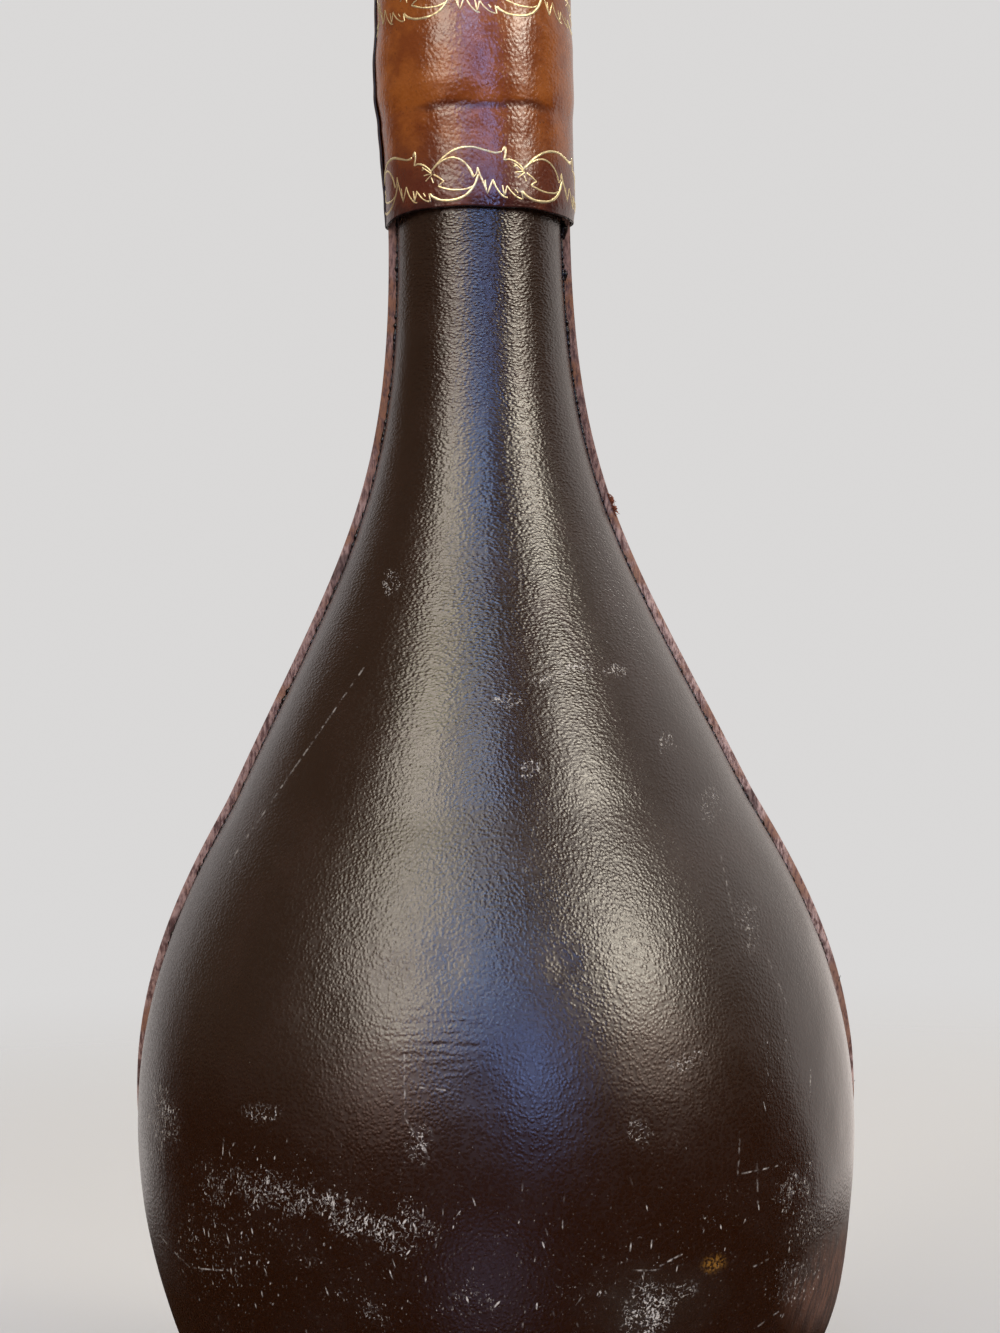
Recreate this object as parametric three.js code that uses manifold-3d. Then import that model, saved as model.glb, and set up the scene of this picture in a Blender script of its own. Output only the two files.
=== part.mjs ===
// A leather-wrapped decanter: a pear-shaped glass bottle dressed in two moulded leather panels that lap at the
// sides, with a thin collar round the neck, a covered foot and a cork stopper with a leather-covered head.
// Millimetres, +Z up, the origin at the middle of the foot. The plain back panel faces -Y.
import * as THREE from "three";
import { mergeVertices } from "three/addons/utils/BufferGeometryUtils.js";
import Module from "manifold-3d";

// Glass bottle: heights are chained from the foot to the mouth.
const BELLY_RADIUS = 63.1; // outside of the glass at its widest
const BELLY_HEIGHT = 70.8; // above the table
const SHOULDER_RADIUS = 44.2; // where the shoulder turns from round to hollow
const SHOULDER_RISE = 57.9; // above the belly
const SHOULDER_LEAN = 25.9; // degrees from upright at that turn
const NECK_RISE = 104.1; // from the shoulder's turn to the straight neck
const BORE_RADIUS = 9.25;
const NECK_WALL = 3.95;
const GLASS_WALL = 3.0;
const FOOT_RADIUS = 36.7; // of the flat that the heel starts from
const HEEL_RADIUS = 9.0;
const HEEL_SWEEP = 61.2; // degrees that the heel turns before the wall starts
const PUNT_RADIUS = 27.0; // hollow under the foot
const PUNT_DEPTH = 8.0;
const LIP_ROUND = 1.5;
const LIP_SHARE = 0.45; // of the neck's wall that a lip rounding may take at most
const LIP_SHOWN = 4.0; // bare glass above the collar

// How far each end of a wall curve holds its direction.
const HEEL_HOLD = 27.8;
const BELLY_HOLD_BELOW = 18.9;
const BELLY_HOLD_ABOVE = 29.2;
const SHOULDER_HOLD_BELOW = 8.7;
const SHOULDER_HOLD_ABOVE = 47.5;
const NECK_HOLD = 49.4;

// Moulded ring round the neck, felt through the leather.
const RING_RISE = 0.7;
const RING_LENGTH = 13.5;
const RING_FLANK = 4.5; // length of its soft edge
const RING_SEAT = 25.8; // from the collar's lower edge to the middle of the ring

// Leather dress.
const PANEL_LEATHER = 1.5;
const GLUE = 0.2; // between any two glued layers
const LAP = 5.0; // how far the back panel runs in under the front one
const LAP_LIFT = 3.0; // the lap starts this far above the heel's centre
const FOLD_WIDTH = 8.0; // panel edge turned in under the foot
const PANEL_INSET = 1.0; // panel tops end this far below the collar's top
const COLLAR_LEATHER = 0.5;
const COLLAR_LENGTH = 44.1;
const COLLAR_SEAT = 0.2; // above the start of the straight neck
const BASE_LEATHER = 2.0;
const BASE_RIM = 2.0; // base disc beyond the flat of the foot

// Stopper.
const CORK_LENGTH = 26.0; // below the mouth
const CORK_FIT = 0.2; // round the cork, at the mouth
const CORK_TAPER = 0.7;
const CORK_CHAMFER = 1.2;
const WASHER_LEATHER = 1.5;
const DOWEL_RADIUS = 3.5;
const DOWEL_IN_CORK = 14.0;
const DOWEL_IN_HEAD = 15.0;
const HEAD_LEDGE = 0.8; // head's foot beyond the neck glass
const HEAD_FLARE = 2.8; // head's top edge beyond its foot
const HEAD_SIDE = 20.0;
const HEAD_DOME = 4.5;
const HEAD_LEATHER = 1.2;
const DISC_RIM = 0.5; // top disc beyond the side band

// Facets.
const TURN_STEPS = 36;
const CURVE_STEPS = 6;
const ARC_STEPS = 4;
const CUT_REACH = 600; // longer than the object, for cutting boxes
const CUT_PAST = 1.0; // how far a cutting layer runs past what it cuts

// Sizes that follow.
const FOOT_HEIGHT = BASE_LEATHER + GLUE + PANEL_LEATHER + GLUE; // underside of the glass
const HEEL_HEIGHT = FOOT_HEIGHT + HEEL_RADIUS;
const SHOULDER_HEIGHT = BELLY_HEIGHT + SHOULDER_RISE;
const NECK_START = SHOULDER_HEIGHT + NECK_RISE;
const NECK_RADIUS = BORE_RADIUS + NECK_WALL;
const COLLAR_BOTTOM = NECK_START + COLLAR_SEAT;
const COLLAR_TOP = COLLAR_BOTTOM + COLLAR_LENGTH;
const RING_MIDDLE = COLLAR_BOTTOM + RING_SEAT;
const MOUTH = COLLAR_TOP + LIP_SHOWN;
const UNDER_LAYER = [GLUE, GLUE + PANEL_LEATHER]; // distances of a leather layer from the glass
const LAP_LAYER = [UNDER_LAYER[1] + GLUE, UNDER_LAYER[1] + GLUE + PANEL_LEATHER];
const COLLAR_LAYER = [LAP_LAYER[1] + GLUE, LAP_LAYER[1] + GLUE + COLLAR_LEATHER];
const WASHER_BOTTOM = MOUTH + GLUE;
const HEAD_BOTTOM = WASHER_BOTTOM + WASHER_LEATHER + GLUE;
const CORK_TOP = HEAD_BOTTOM - GLUE;
const CORK_RADIUS = BORE_RADIUS - CORK_FIT;
const HEAD_FOOT_RADIUS = NECK_RADIUS + HEAD_LEDGE;
const HEAD_RADIUS = HEAD_FOOT_RADIUS + HEAD_FLARE;
const HEAD_SHOULDER = HEAD_BOTTOM + HEAD_SIDE;
const DOWEL_HOLE = DOWEL_RADIUS + GLUE;

const MATERIALS = {
  glass: new THREE.MeshStandardMaterial({ color: 0x4d6349, roughness: 0.06, metalness: 0 }),
  darkLeather: new THREE.MeshStandardMaterial({ color: 0x35261f, roughness: 0.42, metalness: 0 }),
  tanLeather: new THREE.MeshStandardMaterial({ color: 0x7e4220, roughness: 0.4, metalness: 0 }),
  collarLeather: new THREE.MeshStandardMaterial({ color: 0x8c4a20, roughness: 0.36, metalness: 0 }),
  card: new THREE.MeshStandardMaterial({ color: 0x8d7a5e, roughness: 0.9, metalness: 0 }),
  cork: new THREE.MeshStandardMaterial({ color: 0xb98d5c, roughness: 0.85, metalness: 0 }),
  wood: new THREE.MeshStandardMaterial({ color: 0xa97c4c, roughness: 0.7, metalness: 0 }),
};

const wasm = await Module();
wasm.setup();

const point = (radius, height) => new THREE.Vector2(radius, height);
const radians = THREE.MathUtils.degToRad;

// A closed geometry as a solid that can be joined and cut.
function solidOf(geometry) {
  const bare = geometry.clone();
  bare.deleteAttribute("normal");
  bare.deleteAttribute("uv");
  const merged = mergeVertices(bare, 1e-4);
  return new wasm.Manifold(
    new wasm.Mesh({
      numProp: 3,
      vertProperties: new Float32Array(merged.attributes.position.array),
      triVerts: new Uint32Array(merged.index.array),
    }),
  );
}

// A cut or joined solid as a geometry again.
function geometryOf(solid) {
  const mesh = solid.getMesh();
  const geometry = new THREE.BufferGeometry();
  geometry.setAttribute("position", new THREE.BufferAttribute(mesh.vertProperties, 3));
  geometry.setIndex(new THREE.BufferAttribute(mesh.triVerts, 1));
  geometry.computeVertexNormals();
  return geometry;
}

// Revolves an outline of radius and height points about Z.
function turned(outline) {
  return new THREE.LatheGeometry(outline, TURN_STEPS).rotateX(Math.PI / 2);
}

// A box that holds everything from one depth to another, and below a height.
function slab(depthFrom, depthTo, heightTo = CUT_REACH) {
  const depth = depthTo - depthFrom;
  const height = heightTo + CUT_REACH;
  const box = new THREE.BoxGeometry(2 * CUT_REACH, depth, height);
  return solidOf(box.translate(0, depthFrom + depth / 2, heightTo - height / 2));
}

// An outline moved sideways by a distance, away from the axis.
function offset(outline, distance) {
  return outline.map((here, i) => {
    const before = outline[Math.max(i - 1, 0)];
    const after = outline[Math.min(i + 1, outline.length - 1)];
    const along = after.clone().sub(before).normalize();
    return point(here.x + distance * along.y, here.y - distance * along.x);
  });
}

// The closed outline between two offsets of an open one.
function layer(outline, [inner, outer]) {
  const near = offset(outline, inner);
  const ring = [...offset(outline, outer), ...near.reverse()];
  return [...ring, ring[0]];
}

function curve(start, startHold, endHold, end, steps = CURVE_STEPS) {
  return new THREE.CubicBezierCurve(start, startHold, endHold, end).getPoints(steps);
}

function arc(centre, radius, from, to) {
  const path = new THREE.EllipseCurve(centre.x, centre.y, radius, radius, from, to, to < from);
  return path.getPoints(ARC_STEPS);
}

// The hollow under the foot, from the axis outwards, lifted for the inside of the glass.
function punt(lift) {
  return Array.from({ length: ARC_STEPS + 1 }, (_, i) => {
    const share = i / ARC_STEPS;
    const rise = (PUNT_DEPTH * (1 + Math.cos(Math.PI * share))) / 2;
    return point(PUNT_RADIUS * share, FOOT_HEIGHT + lift + rise);
  });
}

// The heel and the wall up to the straight neck, thinned for the inside of the glass.
function wall(thinning, neckRadius) {
  const sweep = radians(HEEL_SWEEP);
  const heel = arc(point(FOOT_RADIUS, HEEL_HEIGHT), HEEL_RADIUS - thinning, -Math.PI / 2, sweep - Math.PI / 2);
  const heelTop = heel[heel.length - 1];
  const heelWay = point(Math.cos(sweep), Math.sin(sweep));
  const belly = point(BELLY_RADIUS - thinning, BELLY_HEIGHT);
  const lean = radians(SHOULDER_LEAN);
  const shoulder = point(SHOULDER_RADIUS - thinning, SHOULDER_HEIGHT);
  const shoulderWay = point(-Math.sin(lean), Math.cos(lean));
  const neck = point(neckRadius, NECK_START);
  const up = (from, way, hold) => from.clone().addScaledVector(way, hold);
  const upright = point(0, 1);
  return [
    ...heel,
    ...curve(heelTop, up(heelTop, heelWay, HEEL_HOLD), up(belly, upright, -BELLY_HOLD_BELOW), belly).slice(1),
    ...curve(
      belly,
      up(belly, upright, BELLY_HOLD_ABOVE),
      up(shoulder, shoulderWay, -SHOULDER_HOLD_BELOW),
      shoulder,
    ).slice(1),
    ...curve(
      shoulder,
      up(shoulder, shoulderWay, SHOULDER_HOLD_ABOVE),
      up(neck, upright, -NECK_HOLD),
      neck,
    ).slice(1),
  ];
}

// Outside of the neck glass at a height: straight, with the soft-edged ring on it.
function neckPoint(height) {
  const halfFlat = RING_LENGTH / 2 - RING_FLANK;
  const away = Math.abs(height - RING_MIDDLE) - halfFlat;
  const share = THREE.MathUtils.clamp(away / RING_FLANK, 0, 1);
  const rise = (RING_RISE * (1 + Math.cos(Math.PI * share))) / 2;
  return point(NECK_RADIUS + rise, height);
}

// The straight neck between two heights, with points at the ends and through the ring.
function neck(from, to) {
  const half = RING_LENGTH / 2;
  const heights = [-half, -half + RING_FLANK / 2, -half + RING_FLANK];
  heights.push(half - RING_FLANK, half - RING_FLANK / 2, half);
  const inside = heights.map((h) => RING_MIDDLE + h).filter((h) => h > from && h < to);
  return [from, ...inside, to].map(neckPoint);
}

function glassBottle() {
  const round = Math.min(LIP_ROUND, NECK_WALL * LIP_SHARE);
  const lipOutside = arc(point(NECK_RADIUS - round, MOUTH - round), round, 0, Math.PI / 2);
  const lipInside = arc(point(BORE_RADIUS + round, MOUTH - round), round, Math.PI / 2, Math.PI);
  return turned([
    ...punt(0),
    ...wall(0, NECK_RADIUS),
    ...neck(NECK_START, MOUTH - round).slice(1, -1),
    ...lipOutside,
    ...lipInside,
    ...wall(GLASS_WALL, BORE_RADIUS).reverse(),
    ...punt(GLASS_WALL).reverse(),
  ]);
}

// A layer of leather moulded on the glass, from the turned-in edge under the foot up to the panels' tops.
// A cutting layer runs past both edges.
function skin(distances, past = 0) {
  const dressed = [
    point(FOOT_RADIUS - FOLD_WIDTH - past, FOOT_HEIGHT),
    ...wall(0, NECK_RADIUS),
    ...neck(NECK_START, COLLAR_TOP - PANEL_INSET + past).slice(1),
  ];
  return solidOf(turned(layer(dressed, distances)));
}

function backPanel() {
  return geometryOf(skin(UNDER_LAYER).intersect(slab(-CUT_REACH, LAP)));
}

// The front panel lies on the glass, steps out, and laps over the edges of the back panel.
function frontPanel() {
  const lapBottom = HEEL_HEIGHT + LAP_LIFT;
  const stepIn = LAP + GLUE;
  const stepOut = stepIn + PANEL_LEATHER;
  const [under, underTop] = UNDER_LAYER;
  const [lap, lapTop] = LAP_LAYER;
  const blank = skin([under, lapTop]).intersect(slab(0, CUT_REACH));
  const backEdge = skin([under - CUT_PAST, lap], CUT_PAST).intersect(slab(-CUT_PAST, stepIn));
  const outside = skin([underTop, lapTop + CUT_PAST], CUT_PAST);
  const beyondStep = outside.intersect(slab(stepOut, CUT_REACH));
  const belowLap = outside.intersect(slab(-CUT_PAST, CUT_REACH, lapBottom));
  return geometryOf(blank.subtract(backEdge).subtract(beyondStep).subtract(belowLap));
}

function neckCollar() {
  return turned(layer(neck(COLLAR_BOTTOM, COLLAR_TOP), COLLAR_LAYER));
}

// A flat disc, or a ring when it has a hole.
function disc(radius, bottom, thickness, hole = 0) {
  const top = bottom + thickness;
  const rim = [point(radius, bottom), point(radius, top)];
  if (hole > 0) {
    return turned([point(hole, bottom), ...rim, point(hole, top), point(hole, bottom)]);
  }
  return turned([point(0, bottom), ...rim, point(0, top)]);
}

function stopperCork() {
  const bottom = MOUTH - CORK_LENGTH;
  const end = CORK_RADIUS - CORK_TAPER;
  return turned([
    point(0, bottom),
    point(end - CORK_CHAMFER, bottom),
    point(end, bottom + CORK_CHAMFER),
    point(CORK_RADIUS, MOUTH),
    point(CORK_RADIUS, CORK_TOP),
    point(DOWEL_HOLE, CORK_TOP),
    point(DOWEL_HOLE, CORK_TOP - DOWEL_IN_CORK),
    point(0, CORK_TOP - DOWEL_IN_CORK),
  ]);
}

function stopperDowel() {
  const bottom = CORK_TOP - DOWEL_IN_CORK + GLUE;
  return disc(DOWEL_RADIUS, bottom, HEAD_BOTTOM + DOWEL_IN_HEAD - GLUE - bottom);
}

// Side of the turned head, hollowed a little above its foot.
function headSide() {
  const foot = point(HEAD_FOOT_RADIUS, HEAD_BOTTOM);
  const edge = point(HEAD_RADIUS, HEAD_SHOULDER);
  const straight = HEAD_SIDE / 2;
  return curve(foot, point(foot.x, foot.y + straight), point(edge.x, edge.y - straight), edge, ARC_STEPS);
}

// The head's domed top, from its edge to the axis, lifted for the leather over it.
function headDome(lift) {
  return Array.from({ length: ARC_STEPS + 1 }, (_, i) => {
    const radius = HEAD_RADIUS * (1 - i / ARC_STEPS);
    const rise = HEAD_DOME * (1 - (radius / HEAD_RADIUS) ** 2);
    return point(radius, HEAD_SHOULDER + lift + rise);
  });
}

function stopperCore() {
  return turned([
    point(0, HEAD_BOTTOM + DOWEL_IN_HEAD),
    point(DOWEL_HOLE, HEAD_BOTTOM + DOWEL_IN_HEAD),
    point(DOWEL_HOLE, HEAD_BOTTOM),
    ...headSide(),
    ...headDome(0).slice(1),
  ]);
}

function stopperSideBand() {
  return turned(layer(headSide(), [GLUE, GLUE + HEAD_LEATHER]));
}

function stopperTopDisc() {
  const rim = HEAD_RADIUS + GLUE + HEAD_LEATHER + DISC_RIM;
  const bottom = HEAD_SHOULDER + GLUE;
  return turned([
    ...headDome(GLUE).reverse(),
    point(rim, bottom),
    point(rim, bottom + HEAD_LEATHER),
    ...headDome(GLUE + HEAD_LEATHER),
  ]);
}

function piece(name, geometry, material) {
  const mesh = new THREE.Mesh(geometry, material);
  mesh.name = name;
  return mesh;
}

const foldLevel = FOOT_HEIGHT - UNDER_LAYER[1]; // underside of the turned-in panel edges

const bottle = new THREE.Group();
bottle.add(
  piece("glass_bottle", glassBottle(), MATERIALS.glass),
  piece("back_panel", backPanel(), MATERIALS.darkLeather),
  piece("front_panel", frontPanel(), MATERIALS.tanLeather),
  piece("neck_collar", neckCollar(), MATERIALS.collarLeather),
  piece("base_filler", disc(FOOT_RADIUS - FOLD_WIDTH - GLUE, foldLevel, PANEL_LEATHER), MATERIALS.card),
  piece("base_disc", disc(FOOT_RADIUS + BASE_RIM, 0, BASE_LEATHER), MATERIALS.darkLeather),
);

const stopper = new THREE.Group();
stopper.add(
  piece("stopper_cork", stopperCork(), MATERIALS.cork),
  piece("stopper_dowel", stopperDowel(), MATERIALS.wood),
  piece("stopper_washer", disc(NECK_RADIUS, WASHER_BOTTOM, WASHER_LEATHER, CORK_RADIUS + GLUE), MATERIALS.darkLeather),
  piece("stopper_core", stopperCore(), MATERIALS.wood),
  piece("stopper_side_band", stopperSideBand(), MATERIALS.collarLeather),
  piece("stopper_top_disc", stopperTopDisc(), MATERIALS.darkLeather),
);

const decanter = new THREE.Group();
decanter.add(bottle, stopper);

export default decanter;
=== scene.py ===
# %% [markdown]
# # A leather-wrapped decanter
# The real bottle is glass, dressed in two sheets of leather that were wetted, moulded on it and glued: a
# plain, very dark sheet on the back and a chestnut one on the front, whose raw edges lap over the back one
# at the sides. A thin glossy collar with two gilt scroll bands hides the tops of both sheets. The packed
# CAD model is loaded first and stays where it is. Every piece made here is placed by its sizes, in metres,
# in the same frame.

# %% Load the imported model
import math

import bmesh
import bpy
from mathutils import Matrix, Quaternion, Vector, noise
from mathutils.geometry import interpolate_bezier


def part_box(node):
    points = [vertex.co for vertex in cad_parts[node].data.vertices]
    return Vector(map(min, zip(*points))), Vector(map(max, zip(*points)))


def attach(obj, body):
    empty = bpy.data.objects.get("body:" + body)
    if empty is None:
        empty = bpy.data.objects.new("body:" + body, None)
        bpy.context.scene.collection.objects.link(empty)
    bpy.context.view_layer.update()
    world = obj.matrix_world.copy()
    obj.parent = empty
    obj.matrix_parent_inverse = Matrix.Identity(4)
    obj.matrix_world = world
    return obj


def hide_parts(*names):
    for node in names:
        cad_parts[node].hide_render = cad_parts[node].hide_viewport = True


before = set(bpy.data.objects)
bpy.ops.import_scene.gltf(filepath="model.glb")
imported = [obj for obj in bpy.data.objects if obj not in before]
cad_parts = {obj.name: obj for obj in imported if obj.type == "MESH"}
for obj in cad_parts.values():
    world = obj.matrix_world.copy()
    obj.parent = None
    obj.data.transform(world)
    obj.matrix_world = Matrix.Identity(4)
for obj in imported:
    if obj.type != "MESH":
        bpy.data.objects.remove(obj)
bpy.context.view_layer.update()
MM = 0.001

# %% [markdown]
# ## The camera
# The picture was taken level, a little below the middle of the bottle, from less than half a metre. The
# bottle's axis leans in the picture and sits left of its middle, so the camera is rolled and panned by the
# angles that this lean and this offset give. Both come from two points on the axis, measured in the
# photograph's own frame.

# %% Camera
PHOTO_WIDTH = 1000
PHOTO_HEIGHT = 1333
AXIS_AT_TOP = Vector((474.8, 0.0))
AXIS_NEAR_FOOT = Vector((500.2, 1320.0))
LENS = 68.0
SENSOR = 36.0
CAMERA_DISTANCE = 460 * MM
EYE_HEIGHT = 152.2 * MM

pixel_focus = LENS / SENSOR * PHOTO_HEIGHT
axis_lean = (AXIS_NEAR_FOOT.x - AXIS_AT_TOP.x) / (AXIS_NEAR_FOOT.y - AXIS_AT_TOP.y)
axis_at_eye = AXIS_AT_TOP.x + axis_lean * PHOTO_HEIGHT / 2
camera_roll = math.atan(axis_lean)
camera_pan = math.atan((PHOTO_WIDTH / 2 - axis_at_eye) / pixel_focus)

lens = bpy.data.cameras.new("camera")
lens.lens = LENS
lens.sensor_width = SENSOR
lens.clip_start = 0.01
camera = bpy.data.objects.new("camera", lens)
bpy.context.scene.collection.objects.link(camera)
turn = Matrix.Rotation(-camera_pan, 4, "Z") @ Matrix.Rotation(math.pi / 2, 4, "X")
camera.matrix_world = (
    Matrix.Translation((0, -CAMERA_DISTANCE, EYE_HEIGHT)) @ turn @ Matrix.Rotation(-camera_roll, 4, "Z")
)
bpy.context.scene.camera = camera
print(f"camera rolled {math.degrees(camera_roll):.2f} and panned {math.degrees(camera_pan):.2f} degrees")

# %% [markdown]
# ## The shape that everything is moulded on
# The glass is a turned form, so one outline from the foot to the mouth describes it. The CAD solids are
# faceted. The leather needs a smooth wall, so the same curves are drawn again here with many points, spaced
# evenly along their length. Any place on the bottle is then a share of that length and a turn about the
# axis.

# %% Outline of the glass


def flat(x, z):
    """A point or a direction in the plane of the outline."""
    return Vector((x, 0, z))


glass_low, glass_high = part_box("glass_bottle")
collar_low, collar_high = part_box("neck_collar")
FOOT_HEIGHT = glass_low.z
MOUTH = glass_high.z
COLLAR_BOTTOM = collar_low.z
COLLAR_TOP = collar_high.z
BELLY = flat(glass_high.x, 70.8 * MM)
SHOULDER = flat(44.2 * MM, 128.7 * MM)
SHOULDER_LEAN = math.radians(25.9)
NECK = flat(13.2 * MM, 232.8 * MM)
BORE_RADIUS = 9.25 * MM
GLASS_WALL = 3.0 * MM
FOOT_RADIUS = 36.7 * MM
FOLD_WIDTH = 8.0 * MM
HEEL_RADIUS = 9.0 * MM
HEEL_SWEEP = math.radians(61.2)
RING_MIDDLE = COLLAR_BOTTOM + 25.8 * MM
RING_LENGTH = 13.5 * MM
RING_FLANK = 4.5 * MM
RING_RISE = 0.7 * MM
LIP_ROUND = 1.5 * MM
UP = Vector((0, 0, 1))
# How far the ends of the outline's three curves are pulled along their directions, in millimetres.
HEEL_PULL, BELLY_PULL_LOW = 27.8, 18.9
BELLY_PULL, SHOULDER_PULL_LOW = 29.2, 8.7
SHOULDER_PULL, NECK_PULL = 47.5, 49.4


def smooth(share):
    """0 to 1 with soft ends."""
    share = min(max(share, 0.0), 1.0)
    return share * share * (3 - 2 * share)


def arc(centre, radius, start, end, steps):
    """Points of an arc in the plane of the outline."""
    angles = [start + (end - start) * i / steps for i in range(steps + 1)]
    return [centre + flat(math.cos(a), math.sin(a)) * radius for a in angles]


def bent(start, start_pull, end_pull, end, steps):
    """Points of a curve that leaves its start and reaches its end along two pulls, in millimetres."""
    return interpolate_bezier(start, start + start_pull * MM, end - end_pull * MM, end, steps)


def ring_rise(height):
    """How far the moulded ring stands out of the straight neck at a height."""
    away = abs(height - RING_MIDDLE) - (RING_LENGTH / 2 - RING_FLANK)
    return RING_RISE * (1 - smooth(away / RING_FLANK))


def wall(thinning, neck_radius, steps=48):
    """Heel, belly, shoulder and root of the neck, thinned for the inside of the glass."""
    heel_centre = flat(FOOT_RADIUS, FOOT_HEIGHT + HEEL_RADIUS)
    heel = arc(heel_centre, HEEL_RADIUS - thinning, -math.pi / 2, HEEL_SWEEP - math.pi / 2, steps // 4)
    heel_way = flat(math.cos(HEEL_SWEEP), math.sin(HEEL_SWEEP))
    inward = flat(thinning, 0)
    belly = BELLY - inward
    shoulder = SHOULDER - inward
    shoulder_way = flat(-math.sin(SHOULDER_LEAN), math.cos(SHOULDER_LEAN))
    root = flat(neck_radius, NECK.z)
    lower = bent(heel[-1], heel_way * HEEL_PULL, UP * BELLY_PULL_LOW, belly, steps)
    upper = bent(belly, UP * BELLY_PULL, shoulder_way * SHOULDER_PULL_LOW, shoulder, steps)
    sweep = bent(shoulder, shoulder_way * SHOULDER_PULL, UP * NECK_PULL, root, steps)
    return heel + lower[1:] + upper[1:] + sweep[1:]


def neck(start, end, steps=40):
    """The straight neck with its ring."""
    heights = [start + (end - start) * i / steps for i in range(steps + 1)]
    return [flat(NECK.x + ring_rise(h), h) for h in heights]


def evenly(points, count):
    """The same line with evenly spaced points."""
    reach = [0.0]
    for before, after in zip(points, points[1:]):
        reach.append(reach[-1] + (after - before).length)
    spaced = []
    i = 0
    for n in range(count):
        want = reach[-1] * n / (count - 1)
        while i < len(points) - 2 and reach[i + 1] < want:
            i += 1
        spaced.append(points[i].lerp(points[i + 1], (want - reach[i]) / max(reach[i + 1] - reach[i], 1e-9)))
    return spaced


PANEL_TOP = COLLAR_TOP - 1.0 * MM
FOLD_START = flat(FOOT_RADIUS - FOLD_WIDTH, FOOT_HEIGHT)
DRESSED = evenly([FOLD_START] + wall(0, NECK.x) + neck(NECK.z, PANEL_TOP)[1:], 900)


def on_glass(along):
    """Point of the outline and its outward direction, at a share of the dressed length."""
    place = along * (len(DRESSED) - 1)
    i = min(int(place), len(DRESSED) - 2)
    way = DRESSED[min(i + 2, len(DRESSED) - 1)] - DRESSED[max(i - 1, 0)]
    return DRESSED[i].lerp(DRESSED[i + 1], place - i), flat(way.z, -way.x).normalized()


def around(radius, turn, height):
    """A point on the bottle: turn 0 faces the camera, and a quarter turn is its right side."""
    return Vector((radius * math.sin(turn), -radius * math.cos(turn), height))


dressed_length = sum((b - a).length for a, b in zip(DRESSED, DRESSED[1:]))
print(f"outline from the fold to the panels' tops: {dressed_length / MM:.0f} mm")

# %% [markdown]
# ## Node helpers
# Materials here are procedural. A few helpers keep them readable: one adds a node to the tree of the
# outputs that feed it, and others do sums, mix colours, rescale a value, start a material with its
# Principled shader and object coordinates, or make and use a group.

# %% Node helpers


def add_node(kind, inputs, **settings):
    """A new node in the tree of the outputs that feed it. Its inputs are such outputs or plain values."""
    tree = next(value.id_data for value in inputs.values() if isinstance(value, bpy.types.NodeSocket))
    made = tree.nodes.new(kind)
    for name, value in settings.items():
        setattr(made, name, value)
    for name, value in inputs.items():
        if isinstance(value, bpy.types.NodeSocket):
            tree.links.new(value, made.inputs[name])
        else:
            made.inputs[name].default_value = value
    return made


def maths(operation):
    """A helper that adds a Math node of one kind."""
    return lambda *values: add_node("ShaderNodeMath", dict(enumerate(values)), operation=operation).outputs[0]


times, plus, minus, times_plus = map(maths, ("MULTIPLY", "ADD", "SUBTRACT", "MULTIPLY_ADD"))
larger, smaller, size_of = map(maths, ("MAXIMUM", "MINIMUM", "ABSOLUTE"))


def vectors(operation, *values):
    """A Vector Math node's result: a vector, or a number where the operation gives one."""
    sockets = (0, "Scale") if operation == "SCALE" else (0, 1)
    made = add_node("ShaderNodeVectorMath", dict(zip(sockets, values)), operation=operation).outputs
    return made["Value"] if operation in ("LENGTH", "DISTANCE", "DOT_PRODUCT") else made["Vector"]


def split(vector):
    return add_node("ShaderNodeSeparateXYZ", {0: vector}).outputs


def rescale(value, low, high, to_low=0.0, to_high=1.0):
    """A value's range turned into another, with soft ends."""
    inputs = {"Value": value, "From Min": low, "From Max": high, "To Min": to_low, "To Max": to_high}
    return add_node("ShaderNodeMapRange", inputs, interpolation_type="SMOOTHSTEP").outputs[0]


def mix_colour(factor, first, second):
    return add_node("ShaderNodeMix", {0: factor, 6: first, 7: second}, data_type="RGBA").outputs[2]


def painted(tone, *layers):
    """A tone with layers of other colours over it, each laid on by its mask."""
    for mask, colour in layers:
        tone = mix_colour(mask, tone, colour)
    return tone


def noise_node(vector, scale, detail=3.0, roughness=0.5, output="Fac"):
    inputs = {"Vector": vector, "Scale": scale, "Detail": detail, "Roughness": roughness}
    return add_node("ShaderNodeTexNoise", inputs).outputs[output]


def stretched(vector, lengths, rotation=(0, 0, 0)):
    """Coordinates that draw a pattern out along turned axes, by a length for each."""
    inputs = {"Vector": vector, "Scale": lengths, "Rotation": rotation}
    return add_node("ShaderNodeMapping", inputs, vector_type="TEXTURE").outputs[0]


def tilted(vector, draw, angle):
    """Coordinates that draw a pattern out along an upright line that leans by an angle in degrees."""
    return stretched(vector, (1, 1, draw), (0, math.radians(angle), 0))


def feed(shader, socket, output):
    """Links an output to a named socket."""
    shader.id_data.links.new(output, shader.inputs[socket])


# %% Materials and groups
VECTOR, FLOAT = "NodeSocketVector", "NodeSocketFloat"


def start_material(name, **constants):
    """A material, its shader with the values that are constant, and the object coordinates."""
    material = bpy.data.materials.new(name)
    material.use_nodes = True
    nodes = material.node_tree.nodes
    shader = nodes["Principled BSDF"]
    for socket, value in constants.items():
        shader.inputs[socket.replace("_", " ")].default_value = value
    return material, shader, nodes.new("ShaderNodeTexCoord").outputs["Object"]


def bumped(shader, height, distance, under=None):
    """Feeds a height, in shares of a distance, to the shader's normal, on top of an earlier bump."""
    inputs = {"Height": height, "Distance": distance, "Strength": 1.0}
    if under is not None:
        inputs["Normal"] = under
    normal = add_node("ShaderNodeBump", inputs).outputs[0]
    feed(shader, "Normal", normal)
    return normal


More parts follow.
